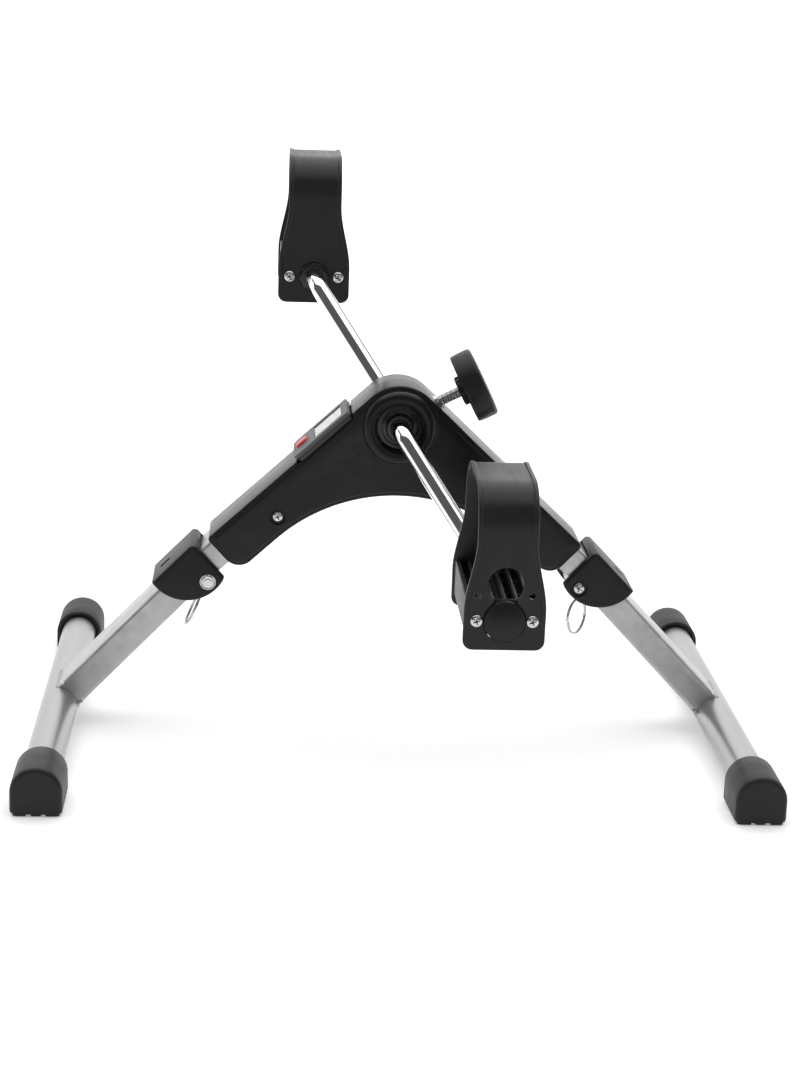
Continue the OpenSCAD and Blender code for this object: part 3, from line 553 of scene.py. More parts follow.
def geometry_tree(name, inputs):
    tree = bpy.data.node_groups.new(name, "GeometryNodeTree")
    tree.interface.new_socket("Geometry", in_out="INPUT", socket_type="NodeSocketGeometry")
    for label, value in inputs:
        kind = "NodeSocketInt" if isinstance(value, int) else "NodeSocketFloat"
        tree.interface.new_socket(label, in_out="INPUT", socket_type=kind).default_value = value
    tree.interface.new_socket("Material", in_out="INPUT", socket_type="NodeSocketMaterial")
    tree.interface.new_socket("Geometry", in_out="OUTPUT", socket_type="NodeSocketGeometry")
    return tree, tree.nodes.new("NodeGroupInput").outputs


def geo(tree, kind, *inputs, **settings):
    """Adds a node and returns its first output; inputs are (socket name or index, value or socket)."""
    node = tree.nodes.new(kind)
    for key, value in settings.items():
        setattr(node, key, value)
    for key, value in inputs:
        fill(tree, node.inputs[key], value)
    return node.outputs[0]


def combine(tree, *parts):
    """A vector from (axis index, value or socket) pairs."""
    return geo(tree, "ShaderNodeCombineXYZ", *parts)


def end_tree(tree, given, shape):
    real = geo(tree, "GeometryNodeRealizeInstances", ("Geometry", shape))
    paint = geo(tree, "GeometryNodeSetMaterial", ("Geometry", real), ("Material", given["Material"]))
    tree.links.new(paint, tree.nodes.new("NodeGroupOutput").inputs[0])
    return tree


def from_tree(name, tree, source_verts, place, values, material):
    """Runs a node tree on points in millimetres and returns its result as a plain piece."""
    mesh = bpy.data.meshes.new(name)
    mesh.from_pydata([tuple(v) for v in source_verts], [], [])
    obj = add_object(name, mesh)
    run = obj.modifiers.new("make", "NODES")
    run.node_group = tree
    sockets = {s.name: s.identifier for s in tree.interface.items_tree if s.in_out == "INPUT"}
    for label, value in {**values, "Material": M[material]}.items():
        run[sockets[label]] = value
    bake(obj)
    tidy_mesh(obj.data, Matrix.Scale(MM, 4) @ place)
    return obj


CROSS_LONG, CROSS_WIDE, CROSS_DEEP, CROSS_GROW, CROSS_TURN = 1.05, 0.24, 0.7, 1.05, 20


def screw_tree():
    """Cross-recessed pan heads with a short shank, one on each point, looking along -Y."""
    tree, given = geometry_tree("Cross-head screws", [
        ("Head Radius", 4.15), ("Head Height", 2.0), ("Shank Radius", 1.6), ("Shank Length", 6.0)])
    radius, tall, length = given["Head Radius"], given["Head Height"], given["Shank Length"]
    dome = geo(tree, "GeometryNodeMeshUVSphere", ("Segments", 40), ("Rings", 24), ("Radius", 1.0))
    dome = geo(tree, "GeometryNodeTransform", ("Geometry", dome),
               ("Scale", combine(tree, (0, radius), (1, radius), (2, tall))))
    below = geo(tree, "GeometryNodeMeshCube", ("Size", (40.0, 40.0, 20.0)))
    cuts = [geo(tree, "GeometryNodeTransform", ("Geometry", below), ("Translation", (0.0, 0.0, -10.0)))]
    for size in ((CROSS_LONG, CROSS_WIDE, CROSS_DEEP), (CROSS_WIDE, CROSS_LONG, CROSS_DEEP)):
        bar = geo(tree, "GeometryNodeMeshCube", ("Size", size))
        grow = geo(tree, "ShaderNodeVectorMath", (0, (CROSS_GROW, CROSS_GROW, 1.0)), (1, radius),
                   operation="MULTIPLY")
        cuts.append(geo(tree, "GeometryNodeTransform", ("Geometry", bar),
                        ("Translation", combine(tree, (2, tall))),
                        ("Scale", grow), ("Rotation", (0.0, 0.0, math.radians(CROSS_TURN)))))
    head = geo(tree, "GeometryNodeMeshBoolean", ("Mesh 1", dome), *[("Mesh 2", cut) for cut in cuts],
               operation="DIFFERENCE")
    shank = geo(tree, "GeometryNodeMeshCylinder", ("Vertices", 24), ("Radius", given["Shank Radius"]),
                ("Depth", length))
    drop = combine(tree, (2, math_node(tree, "MULTIPLY", length, -0.5)))
    shank = geo(tree, "GeometryNodeTransform", ("Geometry", shank), ("Translation", drop))
    whole = geo(tree, "GeometryNodeJoinGeometry", (0, head), (0, shank))
    points = geo(tree, "GeometryNodeInstanceOnPoints", ("Points", given["Geometry"]), ("Instance", whole),
                 ("Rotation", (math.radians(90), 0.0, 0.0)))
    return end_tree(tree, given, points)


def coil_tree():
    """A round wire wound into a coil along Z: springs, screw threads and split rings."""
    tree, given = geometry_tree("Wound coil", [
        ("Coil Radius", 3.0), ("Wire Radius", 0.3), ("Turns", 4.0), ("Height", 5.0), ("Steps", 48),
        ("Sides", 10)])
    spiral = geo(tree, "GeometryNodeCurveSpiral", ("Resolution", given["Steps"]),
                 ("Rotations", given["Turns"]),
                 ("Start Radius", given["Coil Radius"]), ("End Radius", given["Coil Radius"]),
                 ("Height", given["Height"]))
    section = geo(tree, "GeometryNodeCurvePrimitiveCircle", ("Resolution", given["Sides"]),
                  ("Radius", given["Wire Radius"]))
    skin = geo(tree, "GeometryNodeCurveToMesh", ("Curve", spiral), ("Profile Curve", section),
               ("Fill Caps", True))
    return end_tree(tree, given, skin)


RIB_TOP_POWER, RIB_TOP_DROP = 8.0, -3.0


def rib_tree():
    """A row of upright bars with rounded tops across the given width, running along Y."""
    tree, given = geometry_tree("Tread ribs", [
        ("Count", 5), ("Pitch", 7.7), ("Thickness", 2.4), ("Height", 13.4), ("Length", 90.0)])
    thick, tall = given["Thickness"], given["Height"]
    half = math_node(tree, "MULTIPLY", tall, 0.5)
    size = combine(tree, (0, thick), (1, given["Length"]), (2, tall))
    bar = geo(tree, "GeometryNodeMeshCube", ("Size", size), ("Vertices X", 4), ("Vertices Y", 40),
              ("Vertices Z", 8))
    parts = geo(tree, "ShaderNodeSeparateXYZ", (0, geo(tree, "GeometryNodeInputPosition"))).node.outputs
    across = math_node(tree, "DIVIDE", parts[0], thick)
    bend = math_node(tree, "MULTIPLY", across, across)
    high = math_node(tree, "POWER", math_node(tree, "DIVIDE", parts[2], half), RIB_TOP_POWER)
    sink = math_node(tree, "MULTIPLY", math_node(tree, "MULTIPLY", bend, high), RIB_TOP_DROP)
    bar = geo(tree, "GeometryNodeSetPosition", ("Geometry", bar), ("Offset", combine(tree, (2, sink))))
    bar = geo(tree, "GeometryNodeTransform", ("Geometry", bar), ("Translation", combine(tree, (2, half))))
    reach = math_node(tree, "MULTIPLY", math_node(tree, "SUBTRACT", given["Count"], 1.0), given["Pitch"])
    start = math_node(tree, "MULTIPLY", reach, -0.5)
    row = geo(tree, "GeometryNodeMeshLine", ("Count", given["Count"]),
              ("Start Location", combine(tree, (0, start))),
              ("Offset", combine(tree, (0, given["Pitch"]))))
    return end_tree(tree, given, geo(tree, "GeometryNodeInstanceOnPoints", ("Points", row),
                                     ("Instance", bar)))


SCREWS, COIL, RIBS = screw_tree(), coil_tree(), rib_tree()


def coil(name, place, radius, wire, turns, height, steps, sides, material):
    return from_tree(name, COIL, [(0, 0, 0)], place, {
        "Coil Radius": radius, "Wire Radius": wire, "Turns": turns, "Height": height, "Steps": steps,
        "Sides": sides}, material)


def screws_on(name, body, points, place, sizes, node):
    """Cross-head screws whose heads face -Y in their own frame."""
    labels = ("Head Radius", "Head Height", "Shank Radius", "Shank Length")
    piece = from_tree(name, SCREWS, points, place, dict(zip(labels, sizes)), "screw")
    give(piece, "screw", body, "screw_steel", node)


# ---------------------------------------------------------------- housing

def housing_outline(inset):
    """Half of the outline from the top of the hub to the top of the arch, then mirrored, in X and Z."""
    cos_a, sin_a = cos_d(ARM_ANGLE), sin_d(ARM_ANGLE)
    top_m = -PIVOT_X * sin_a + (CRANK_Z - PIVOT_Z) * cos_a + HUB_R - inset
    low_m, end_u, corner, brow = inset - UNDERSIDE, -HOUSING_END - inset, HOUSING_CORNER - inset, HOUSING_BROW

    def world(u, m):
        return (PIVOT_X + u * cos_a + m * sin_a, PIVOT_Z - u * sin_a + m * cos_a)

    low_z = PIVOT_Z - UNDERSIDE * cos_a + (PIVOT_X - UNDERSIDE * sin_a) * math.tan(math.radians(ARM_ANGLE))
    arch_z = (ARCH_TOP - low_z * cos_a) / (1 - cos_a)
    half = arc((0, CRANK_Z), HUB_R - inset, 90, 90 - ARM_ANGLE, 18)
    half += [world(end_u - brow + brow * sin_d(t), top_m - brow + brow * cos_d(t)) for t in range(0, 91, 15)]
    half += [world(end_u - corner + corner * cos_d(t), low_m + corner - corner * sin_d(t))
             for t in range(0, 91, 9)]
    half += arc((0, arch_z), ARCH_TOP - arch_z + inset, 90 - ARM_ANGLE, 90, 28)
    return half + [(-x, z) for x, z in reversed(half[1:-1])]


def housing_layer(inset, y):
    return [(x, y, z) for x, z in housing_outline(inset)]


BOSS = [(16.35, -0.5), (16.35, 1.2), (16.9, 2.6), (18.2, 3.9), (19.6, 4.4), (21.0, 4.5), (22.4, 4.35),
        (23.8, 3.7),
        (24.9, 2.5), (25.5, 1.2), (25.75, 0.35), (26.3, 0.0), (26.3, -0.5), (16.35, -0.5)]


def housing_shell(side):
    """One shell: rounded wall, raised side panel, openings for tubes and fittings, and the boss."""
    name = "housing_" + hand_word(side)
    steps = [(0.25, 0.0), (0.0, 0.25), (0.0, SHELL_Y - 1.6)] + rounding(1.6, SHELL_Y)
    steps += [(PANEL_MARGIN - 0.5, SHELL_Y), (PANEL_MARGIN - 0.15, SHELL_Y + 0.12),
              (PANEL_MARGIN, SHELL_Y + 0.5)]
    steps += [(PANEL_MARGIN, PANEL_Y - 1.2)] + [(PANEL_MARGIN + d, y) for d, y in rounding(1.2, PANEL_Y)]
    shell = make_piece(name + "_cover", *loft([housing_layer(d, side * y) for d, y in steps]))
    cutters = [make_piece("hollow", *loft([housing_layer(WALL, side * y) for y in (-1.0, 20.3)])),
               drill("bore", 16.3, -40, 40, move(0, 0, CRANK_Z) @ AXLE_TO_Y)]
    for end in (-1, 1):
        cutters.append(block("mouth", -36, -10, -20.15, 20.15, -0.3, 20.3, pivot_place(end)))
        hole = pivot_place(end) @ move(COVER_SCREW_U, 0, COVER_SCREW_M) @ AXLE_TO_Y
        cutters.append(drill("screw_bore", 2.0, -40, 23, hole))
        cutters.append(drill("screw_recess", 5.7, -30, -PANEL_Y + 2.2, hole))
    cutters.append(block("display_seat", -155, -103.5, -30, 30, 20.8, 40, pivot_place(-1)))
    cutters.append(drill("screw_neck", 6.2, 24, 39, knob_place()))
    if side > 0:
        cutters.append(block("slit", -160, -152, 17, 18.4, 19.3, 24.3, pivot_place(1)))
    cut_from(shell, cutters)
    boss = make_piece("boss", *turned(BOSS, 128), move(0, side * PANEL_Y, CRANK_Z) @ spin(-90 * side, "X"))
    give(joined(name + "_cover", [shell, boss]), "housing", "frame", "housing_plastic", name + "_shell")


BUSH = [(6.4, 10.5), (18.4, 10.5), (18.4, 20.2), (15.9, 20.2), (15.9, 22.0), (15.5, 22.4), (14.9, 22.5),
        (13.6, 22.55), (12.5, 22.9), (12.1, 23.1), (11.9, 22.95), (10.6, 23.3), (9.6, 23.9), (9.3, 24.8),
        (9.25, 26.2),
        (8.8, 26.8), (8.2, 27.0), (7.0, 27.0), (6.6, 26.7), (6.4, 26.2), (6.4, 10.5)]


def crank_bush(side):
    """Stepped bush in the boss: a dished flange with rings, then the nose."""
    word = hand_word(side)
    bush = make_piece(word + "_bush_face", *turned(BUSH, 112), move(0, 0, CRANK_Z) @ spin(-90 * side, "X"),
                      math.radians(24))
    give(bush, "bush", "frame", "bush_plastic", word + "_crank_bush")


# ---------------------------------------------------------------- crank and brake

def crank_rod():
    """One bent rod: hub, two slanting arms, two pedal axles."""
    slant = math.atan2(THROW, OUTER_BEND - INNER_BEND)
    cut = BEND_R * math.tan(slant / 2)
    turns = [slant * i / BEND_STEPS for i in range(BEND_STEPS + 1)]
    half = [(0, 0), (0, -INNER_BEND + cut)]
    half += [(BEND_R - BEND_R * math.cos(t), -INNER_BEND + cut - BEND_R * math.sin(t)) for t in turns[1:]]
    half += [(THROW - BEND_R + BEND_R * math.cos(t), -OUTER_BEND - cut + BEND_R * math.sin(t))
             for t in turns[::-1]]
    half += [(THROW, -ROD_END + 0.8)]
    path = [(-x, -y, 0) for x, y in half[::-1]] + [(x, y, 0) for x, y in half[1:]]
    rod = make_piece("chrome_crank", *swept(path, ROD_R, 48), crank_place(), math.radians(50))
    give(rod, "chrome", "crank", "crank_chrome", "crank_rod")


def tension_knob():
    """Thick disc with softened rims, a shallow crown, a moulded collar and ribs round the collar."""
    back = [(0, 4.0), (4.05, 4.0), (4.05, -3.6), (9.2, -3.6), (10, -2.9), (10, 0), (11.5, 0.6), (13.0, 2.4),
            (21.4, 2.4), (22.0, 0.5), (23.6, 0), (24.5, 0.5), (24.75, 2.5), (KNOB_R, 6), (KNOB_R, 11)]
    rim = [(r, KNOB_S + s) for r, s in back]
    rim += arc((KNOB_R - 2.6, KNOB_S + KNOB_T - 3.3), 2.6, 0, 90, 6)
    rim += [(18, KNOB_S + KNOB_T - 0.35), (10, KNOB_S + KNOB_T - 0.1), (0, KNOB_S + KNOB_T)]
    parts = [make_piece("knob_disc", *turned(rim, 144), knob_place(), SOFT_SHARP)]
    for angle in range(0, 360, 30):
        parts.append(block("collar_rib", 9.2, 10.6, -0.7, 0.7, KNOB_S - 3.1, KNOB_S + 1.2,
                           knob_place() @ spin(angle, "Z")))
    give(joined("tension_knob_disc", parts), "knob", "knob", "knob_plastic", "tension_knob")


def tension_screw():
    core = [(0, 19.7), (2.3, 19.7), (2.5, 20.0), (2.5, 21.2), (3.3, 21.4), (3.45, 22.2), (3.45, 59.5),
            (0, 59.5)]
    shaft = make_piece("screw_core", *turned(core, 40), knob_place())
    thread = coil("screw_thread", knob_place() @ move(0, 0, THREAD_START), 3.48, 0.46, THREAD_TURNS,
                  THREAD_TURNS * SCREW_PITCH, 36, 6, "steel")
    give(joined("tension_screw_thread", [shaft, thread]), "steel", "knob", "steel", "tension_screw")


# ---------------------------------------------------------------- legs

def box_tube(name, x0, x1, place, cuts):
    """Rectangular tube with rolled corners, hollow, then cut to fit its neighbours."""
    mid = TUBE_T / 2
    outer = [(y, z + mid) for y, z in rounded_box(TUBE_W / 2, mid, TUBE_CORNER)]
    inner = [(y * (TUBE_W - 2 * TUBE_WALL) / TUBE_W, mid + (z - mid) * (TUBE_T - 2 * TUBE_WALL) / TUBE_T)
             for y, z in outer]
    rings = [[(x, y, z) for y, z in ring] for x, ring in ((x0, inner), (x0, outer), (x1, outer), (x1, inner))]
    return cut_from(make_piece(name, *loft(rings + [rings[0]], caps=False), place), cuts)


WELD_ROWS, WELD_AROUND, WELD_SEED = 6, 10, 7


def weld_bead(side):
    """Small lumps of weld where the leg meets the floor bar."""
    rng = random.Random(WELD_SEED)
    verts, faces, spots = [], [], []
    for edge in (-1, 1):
        spots += [(LEG_LENGTH - 13.2, edge * 20.0, 19.2, 1.5), (LEG_LENGTH - 11.6, edge * 20.2, 1.4, 1.6),
                  (LEG_LENGTH - 12.8, edge * 19.2, 0.6, 1.1)]
    for k in range(15):
        spots += [(LEG_LENGTH - 7.9, -17.5 + 2.5 * k, z, 1.15) for z in (20.1, -0.1)]
    for x, y, z, r in spots:
        base = len(verts)
        for i in range(WELD_ROWS + 1):
            for k in range(WELD_AROUND):
                t, p = math.pi * i / WELD_ROWS, 2 * math.pi * k / WELD_AROUND
                grow = r * (0.85 + 0.3 * rng.random())
                verts.append((x + grow * math.sin(t) * math.cos(p),
                              y + grow * math.sin(t) * math.sin(p) * 1.3,
                              z + grow * math.cos(t) * 0.8))
        for i in range(base, base + WELD_ROWS * WELD_AROUND, WELD_AROUND):
            for k in range(WELD_AROUND):
                m = (k + 1) % WELD_AROUND
                faces.append((i + k, i + m, i + WELD_AROUND + m, i + WELD_AROUND + k))
    return make_piece("weld", verts, faces, leg_place(side))


def lower_leg(side):
    """Tube coped round the floor bar, with room for hinge and lock pin, its locating tab and the weld."""
    word, place = end_word(side), pivot_place(side)
    cuts = [drill("bar_cope", BAR_R, -40, 40, bar_place(side) @ AXLE_TO_Y, 96),
            drill("barrel_room", 7.2, -40, 40, place @ AXLE_TO_Y),
            drill("plate_room", LATCH_ROOM, -4.7, 4.7, place @ AXLE_TO_Y, 96),
            drill("pin_bore", PIN_HOLE_R, -8, 4, place @ move(LOCK_U, 0, 0))]
    tube = box_tube(word + "_tube", 2, LEG_LENGTH, leg_place(side), cuts)
    tab = block("tab", 15, 21, -1.8, 1.8, 17.4, 25.2, place)
    whole = joined(word + "_leg_tube", [tube, tab, weld_bead(side)])
    give(whole, "silver", word + "_leg", "frame_paint", word + "_lower_leg")


def latch_plate():
    """Plate that hangs below the upper leg's end, in the knuckle's frame."""
    edge = [(0.5, 10.0)] + [(LATCH_R * cos_d(t), LATCH_R * sin_d(t))
                            for t in range(29, 88, 4)] + [(0.5, 20.7)]
    return loft([[(u, y, m) for u, m in edge] for y in (-LATCH_HALF, LATCH_HALF)])


def upper_leg(side):
    """Tube from the hub to the hinge, with its barrel, end plug and the plate the lock pin enters."""
    word, place = end_word(side), pivot_place(side)
    cuts = [drill("hub_cope", 22, -40, 40, move(0, 0, CRANK_Z) @ AXLE_TO_Y, 96)]
    if side < 0:
        cuts.append(block("display_cut", -152, -107, -15.5, 15.5, 12, 30, place))
    else:
        cuts.append(drill("screw_cut", 8.5, 0, 40, knob_place()))
    cuts.append(drill("screw_pass", 2.5, -30, 30, place @ move(COVER_SCREW_U, 0, COVER_SCREW_M) @ AXLE_TO_Y))
    tube = box_tube(word + "_stub", -160.7, 0.5, place, cuts)
    profile = [(HINGE_BOLT_R, -20), (6.2, -20), (HINGE_BARREL_R, -19.7), (HINGE_BARREL_R, 19.7), (6.2, 20),
               (HINGE_BOLT_R, 20), (HINGE_BOLT_R, -20)]
    barrel = make_piece("barrel", *turned(profile, 48), place @ AXLE_TO_Y)
    plug = block("plug", -1, 0.5, -18.6, 18.6, 1.4, 18.6, place)
    latch = cut_from(make_piece("latch", *latch_plate(), place),
                     [drill("pin_hole", PIN_HOLE_R, 0, 30, place @ move(LOCK_U, 0, 0))])
    whole = joined(word + "_arm_tube", [tube, barrel, plug, latch])
    give(whole, "silver", "frame", "frame_paint", word + "_upper_leg")


def floor_bar(side):
    word = end_word(side)
    lip = BAR_R - 0.3
    profile = [(BAR_BORE, -BAR_END), (lip, -BAR_END), (BAR_R, 0.3 - BAR_END)]
    profile += [(BAR_R, y) for y in range(-180, 181, 20)]
    profile += [(BAR_R, BAR_END - 0.3), (lip, BAR_END), (BAR_BORE, BAR_END), (BAR_BORE, -BAR_END)]
    bar = make_piece(word + "_bar_tube", *turned(profile), bar_place(side) @ AXLE_TO_Y)
    give(bar, "silver", word + "_leg", "frame_paint", word + "_floor_bar")


def foot_outline(inset):
    """D-shaped section, with two grooves under the tread, in X and Z from the bar's axis."""
    r = CAP_R - inset
    low = -CAP_BASE + min(inset, 1.0) * 0.6
    up, k = low + 1.2, r / CAP_R
    corner = [(-r, low + 4.2), (-r + 0.35, low + 2.4), (-r + 1.2, low + 1.6)]
    treads = []
    for x0, x1 in ((-15.2, -8.5), (-3.5, 3.5), (8.5, 15.2)):
        treads += [(x0 * k, up), (x0 * k + 0.15, low + 0.2), (x0 * k + 0.4, low), (x1 * k - 0.4, low),
                   (x1 * k - 0.15, low + 0.2), (x1 * k, up)]
    return arc((0, 0), r, 0, 180, 36) + corner + treads + [(-x, z) for x, z in reversed(corner)]


def foot_cap(side, end):
    """Moulded cap over the bar's end, with a rounded nose, a lip at its mouth and a bore for the bar."""
    word = end_word(side)

    def ring(inset, y):
        return [(x, y, z) for x, z in foot_outline(inset)]

    def hole(radius, y):
        angles = [math.atan2(z, x) for x, z in foot_outline(0)]
        return [(radius * math.cos(a), y, radius * math.sin(a)) for a in angles]

    rings = [ring(4.6, -190.0), ring(3.2, -189.9)]
    rings += [ring(3.0 - 3.0 * sin_d(t), -187.0 - 3.0 * cos_d(t)) for t in (15, 35, 55, 75, 90)]
    rings += [ring(0, -180), ring(0, -165), ring(0, -CAP_INNER - 1.0), ring(0.25, -CAP_INNER - 0.4),
              ring(0.8, -CAP_INNER), hole(CAP_LIP + 0.3, -CAP_INNER), hole(CAP_LIP, -CAP_INNER - 0.4),
              hole(CAP_LIP, -CAP_INNER - 3), hole(BAR_R + 0.05, -CAP_INNER - 3),
              hole(BAR_R + 0.05, -CAP_INNER - 12)]
    name = word + "_" + hand_word(end)
    cap = make_piece(name + "_cap", *loft(rings), bar_place(side) @ (FLIP_Y if end > 0 else STAY))
    give(cap, "cap", word + "_leg", "cap_plastic", name + "_foot_cap")


def knuckle_outline(inset):
    """Top that rises slightly to a rounded mouth, and a round belly, in the knuckle's frame."""
    belly = (0.6, 21.3)
    mouth, radius, lip = -11 + inset, 29.3 - inset, max(3.6 - inset, 0.8)
    points = arc((mouth + lip, 27.3 - inset - lip), lip, 180, 84, 8)
    top = 25.5 - inset
    end = belly[0] + math.sqrt(radius ** 2 - (top - belly[1]) ** 2)
    begin_u, begin_m = points[-1]
    points += [(begin_u + (end - begin_u) * k / 9, begin_m + (top - begin_m) * k / 9) for k in range(1, 9)]
    start = math.degrees(math.asin((top - belly[1]) / radius))
    points += arc(belly, radius, start, -math.degrees(math.acos((mouth - belly[0]) / radius)), 44)
    low = points[-1]
    return points[:-2] + [(low[0] + 0.5, low[1] + 0.15), (low[0], low[1] + 1.0), (mouth, low[1] + 4)]


def knuckle(side):
    """Moulded cover over the hinge, with rounded edges, cut for the tubes, bolt, pin and locating tab."""
    word, place, leg, half = end_word(side), pivot_place(side), leg_place(side), KNUCKLE_HALF
    edge = rounding(KNUCKLE_SOFT, half, (0, 18, 36, 54, 72, 90))
    layers = [(d, -y) for d, y in reversed(edge)] + edge
    cover = make_piece("cover", *loft([[(u, y, m) for u, m in knuckle_outline(d)] for d, y in layers]), place)
    cover = cut_from(cover, [block("mouth_room", -30, 2.2, -20.4, 20.4, -20, 21.3, place),
                             block("under_room", -30.4, 9.5, -20.45, 20.45, -20.4, 0.5, place),
                             block("pin_pocket", 8, 19.5, -14, 14, -20.2, 0.6, place),
                             block("tab_slot", 13.5, 22.5, -2.5, 2.5, 19, 40, place),
                             block("leg_room", 1.2, 200, -20.02, 20.02, 0, 20.02, leg)])
    cover = cut_from(cover, [drill("plate_room", LATCH_ROOM, -4.8, 4.8, place @ AXLE_TO_Y, 96),
                             drill("barrel_room", 7.5, -20.42, 20.42, place @ AXLE_TO_Y),
                             drill("bolt_bore", HINGE_BOLT_R, -40, 40, place @ AXLE_TO_Y),
                             drill("bolt_recess", 6, -40, -half + 1.6, place @ AXLE_TO_Y),
                             drill("nut_recess", 6, half - 1.6, 40, place @ AXLE_TO_Y)])
    cover.name = word + "_knuckle_cover"
    give(cover, "knuckle", word + "_leg", "cap_plastic", word + "_knuckle")


def pivot_nut(side):
    """Flanged hex nut on the pivot bolt, with the bolt's end in it."""
    word = end_word(side)
    flange = make_piece("flange", *turned([(3.1, 0), (5.75, 0), (5.8, 0.9), (5.6, 1.25), (5.3, 1.3),
                                           (5.0, 1.1),
                                           (4.85, 0.5), (3.1, 0.5), (3.1, 0)], 64))
    hexed = make_piece("hex", *loft([[(r * cos_d(60 * k), r * sin_d(60 * k), z) for k in range(6)]
                                     for r, z in ((4.7, 0.3), (4.75, 2.1), (4.3, 2.6))]))
    tip = make_piece("tip", *turned([(0, 0), (2.9, 0), (2.9, 2.9), (2.5, 3.2), (0, 3.25)], 40))
    nut = joined(word + "_flange_nut", [flange, hexed, tip])
    turn = pivot_place(side) @ move(0, side * (KNUCKLE_HALF - 1.6), 0) @ spin(-90 * side, "X")
    tidy_mesh(nut.data, Matrix.Scale(MM, 4) @ turn @ Matrix.Scale(1 / MM, 4))
    give(nut, "screw", word + "_leg", "screw_steel", word + "_pivot_nut")


RING_HEIGHT = 1.3


def pull_ring(side):
    """Split ring of double wire, hanging in the lock pin's eye."""
    word = end_word(side)
    turn, lean = (90, -67.5) if side < 0 else (45, -33.2)
    place = pivot_place(side) @ move(LOCK_U, 0, EYE_M) @ spin(turn, "Z") @ spin(lean, "X")
    place = place @ move(0, 0, -RING_R) @ AXLE_TO_Y @ move(0, 0, -RING_HEIGHT / 2) @ spin(140, "Z")
    ring = coil(word + "_split_ring", place, RING_R, 0.72, 1.98, RING_HEIGHT, 96, 14, "screw")
    give(ring, "screw", word + "_ring", "screw_steel", word + "_pull_ring")


def lock_parts(side):
    word = end_word(side)
    spring = coil(word + "_pin_spring", pivot_place(side) @ move(LOCK_U, 0, 1.45), 3.1, 0.28, 4.0, 3.2, 40, 8,
                  "steel")
    give(spring, "steel", word + "_leg", "steel", word + "_lock_spring")
    pin = softened(word + "_pin", word + "_lock_pin", 0.3)
    give(pin, "steel", word + "_lock", "steel", word + "_lock_pin")


def pivot_screw(side):
    word = end_word(side)
    place = (FLIP_Y if side < 0 else STAY) @ pivot_place(side)
    screws_on(word + "_pivot_screw", word + "_leg", [(0, 1.6 - KNUCKLE_HALF, 0)], place, PIVOT_SCREW,
              word + "_pivot_bolt")


# ---------------------------------------------------------------- pedals

def strap_half_width(z):
    """Wide at the foot, narrow at the top, with rounded bottom corners."""
    t = min(max((z - 6) / 46, 0), 1)
    s = t * t * (3 - 2 * t)
    wide = 26 * (1 - s) + 19 * s
    low = STRAP_ROUND - STRAP_LOW - z
    if low > 0:
        wide -= STRAP_ROUND - math.sqrt(max(STRAP_ROUND ** 2 - low * low, 0))
    return wide


def strap(side):
    """Moulded band: up one end, round two soft corners and down the other, with a bead along each edge."""
    half, word, place, t = PEDAL_HALF, hand_word(side), pedal_place(side), STRAP_T
    low, bend_y, bend_z = STRAP_ROUND - STRAP_LOW, STRAP_CORNER - half, STRAP_TOP - STRAP_CORNER
    path = [(-half, -STRAP_LOW + STRAP_ROUND * (1 - cos_d(a)), (-1, 0)) for a in range(0, 91, 10)]
    path += [(-half, low + (bend_z - low) * i / 30, (-1, 0)) for i in range(1, 30)]
    path += [(bend_y + STRAP_CORNER * cos_d(a), bend_z + STRAP_CORNER * sin_d(a), (cos_d(a), sin_d(a)))
             for a in [180 - 90 * i / 12 for i in range(13)]]
    path += [(bend_y + (half - STRAP_CORNER) * i / 5, STRAP_TOP, (0, 1)) for i in range(1, 6)]
    path += [(-y, z, (-n[0], n[1])) for y, z, n in reversed(path[:-1])]
    rings = []
    for y, z, n in path:
        w, bead = strap_half_width(z), STRAP_BEAD * min(1, max(0, (z + 4) / 6))
        section = [(-w + 0.5, -t), (-w + 0.1, -t + 0.2), (-w, -t + 0.7), (-w, -0.5 + bead),
                   (-w + 0.15, -0.15 + bead),
                   (-w + 0.6, bead), (-w + 2.2, bead), (-w + 2.8, bead * 0.5), (-w + 3.2, 0.0),
                   (-w * 0.5, 0.0)]
        section = section + [(0, 0)] + [(-x, h) for x, h in reversed(section)]
        rings.append([(x, y + n[0] * h, z + n[1] * h) for x, h in section])
    band = make_piece(word + "_strap_band", *loft(rings), place, math.radians(38))
    cutters = [drill("cap_hole", AXLE_CAP_HOLE, -60, -20, place @ AXLE_TO_Y),
               drill("foot_hole", FOOT_HOLE_R, -60, -20, place @ move(0, 0, FOOT_HOLE_Z) @ AXLE_TO_Y),
               block("neck", -7.6, 7.6, -60, -20, 10, 24, place),
               drill("bush_hole", 11.0, 20, 60, place @ AXLE_TO_Y)]
    cutters += [drill("spare_hole", 2.0, -60, -20, place @ move(x, 0, 16.5) @ AXLE_TO_Y, 32)
                for x in (-17.0, 17.0)]
    cut_from(band, cutters)
    give(band, "strap", word + "_pedal_unit", "strap_rubber", word + "_strap")


def axle_cap(side):
    """Domed push-in cap with a softened rim."""
    rim, base, word = AXLE_CAP_R, 3.35, hand_word(side)
    profile = [(0, 0), (12, 0), (13.1, 0.2), (rim, 0.7), (rim, 2.9), (rim - 0.15, 3.4), (rim - 0.8, 3.95)]
    profile += [(r, base + AXLE_CAP_CROWN * (1 - (r / rim) ** 2)) for r in (11.6, 10.4, 9, 7, 5, 3, 1.5, 0)]
    turn = pedal_place(side) @ move(0, -PEDAL_HALF + STRAP_T, 0) @ spin(90, "X")
    cap = make_piece(word + "_end_cap", *turned(profile), turn, SOFT_SHARP)
    give(cap, "knuckle", word + "_pedal_unit", "cap_plastic", word + "_axle_cap")


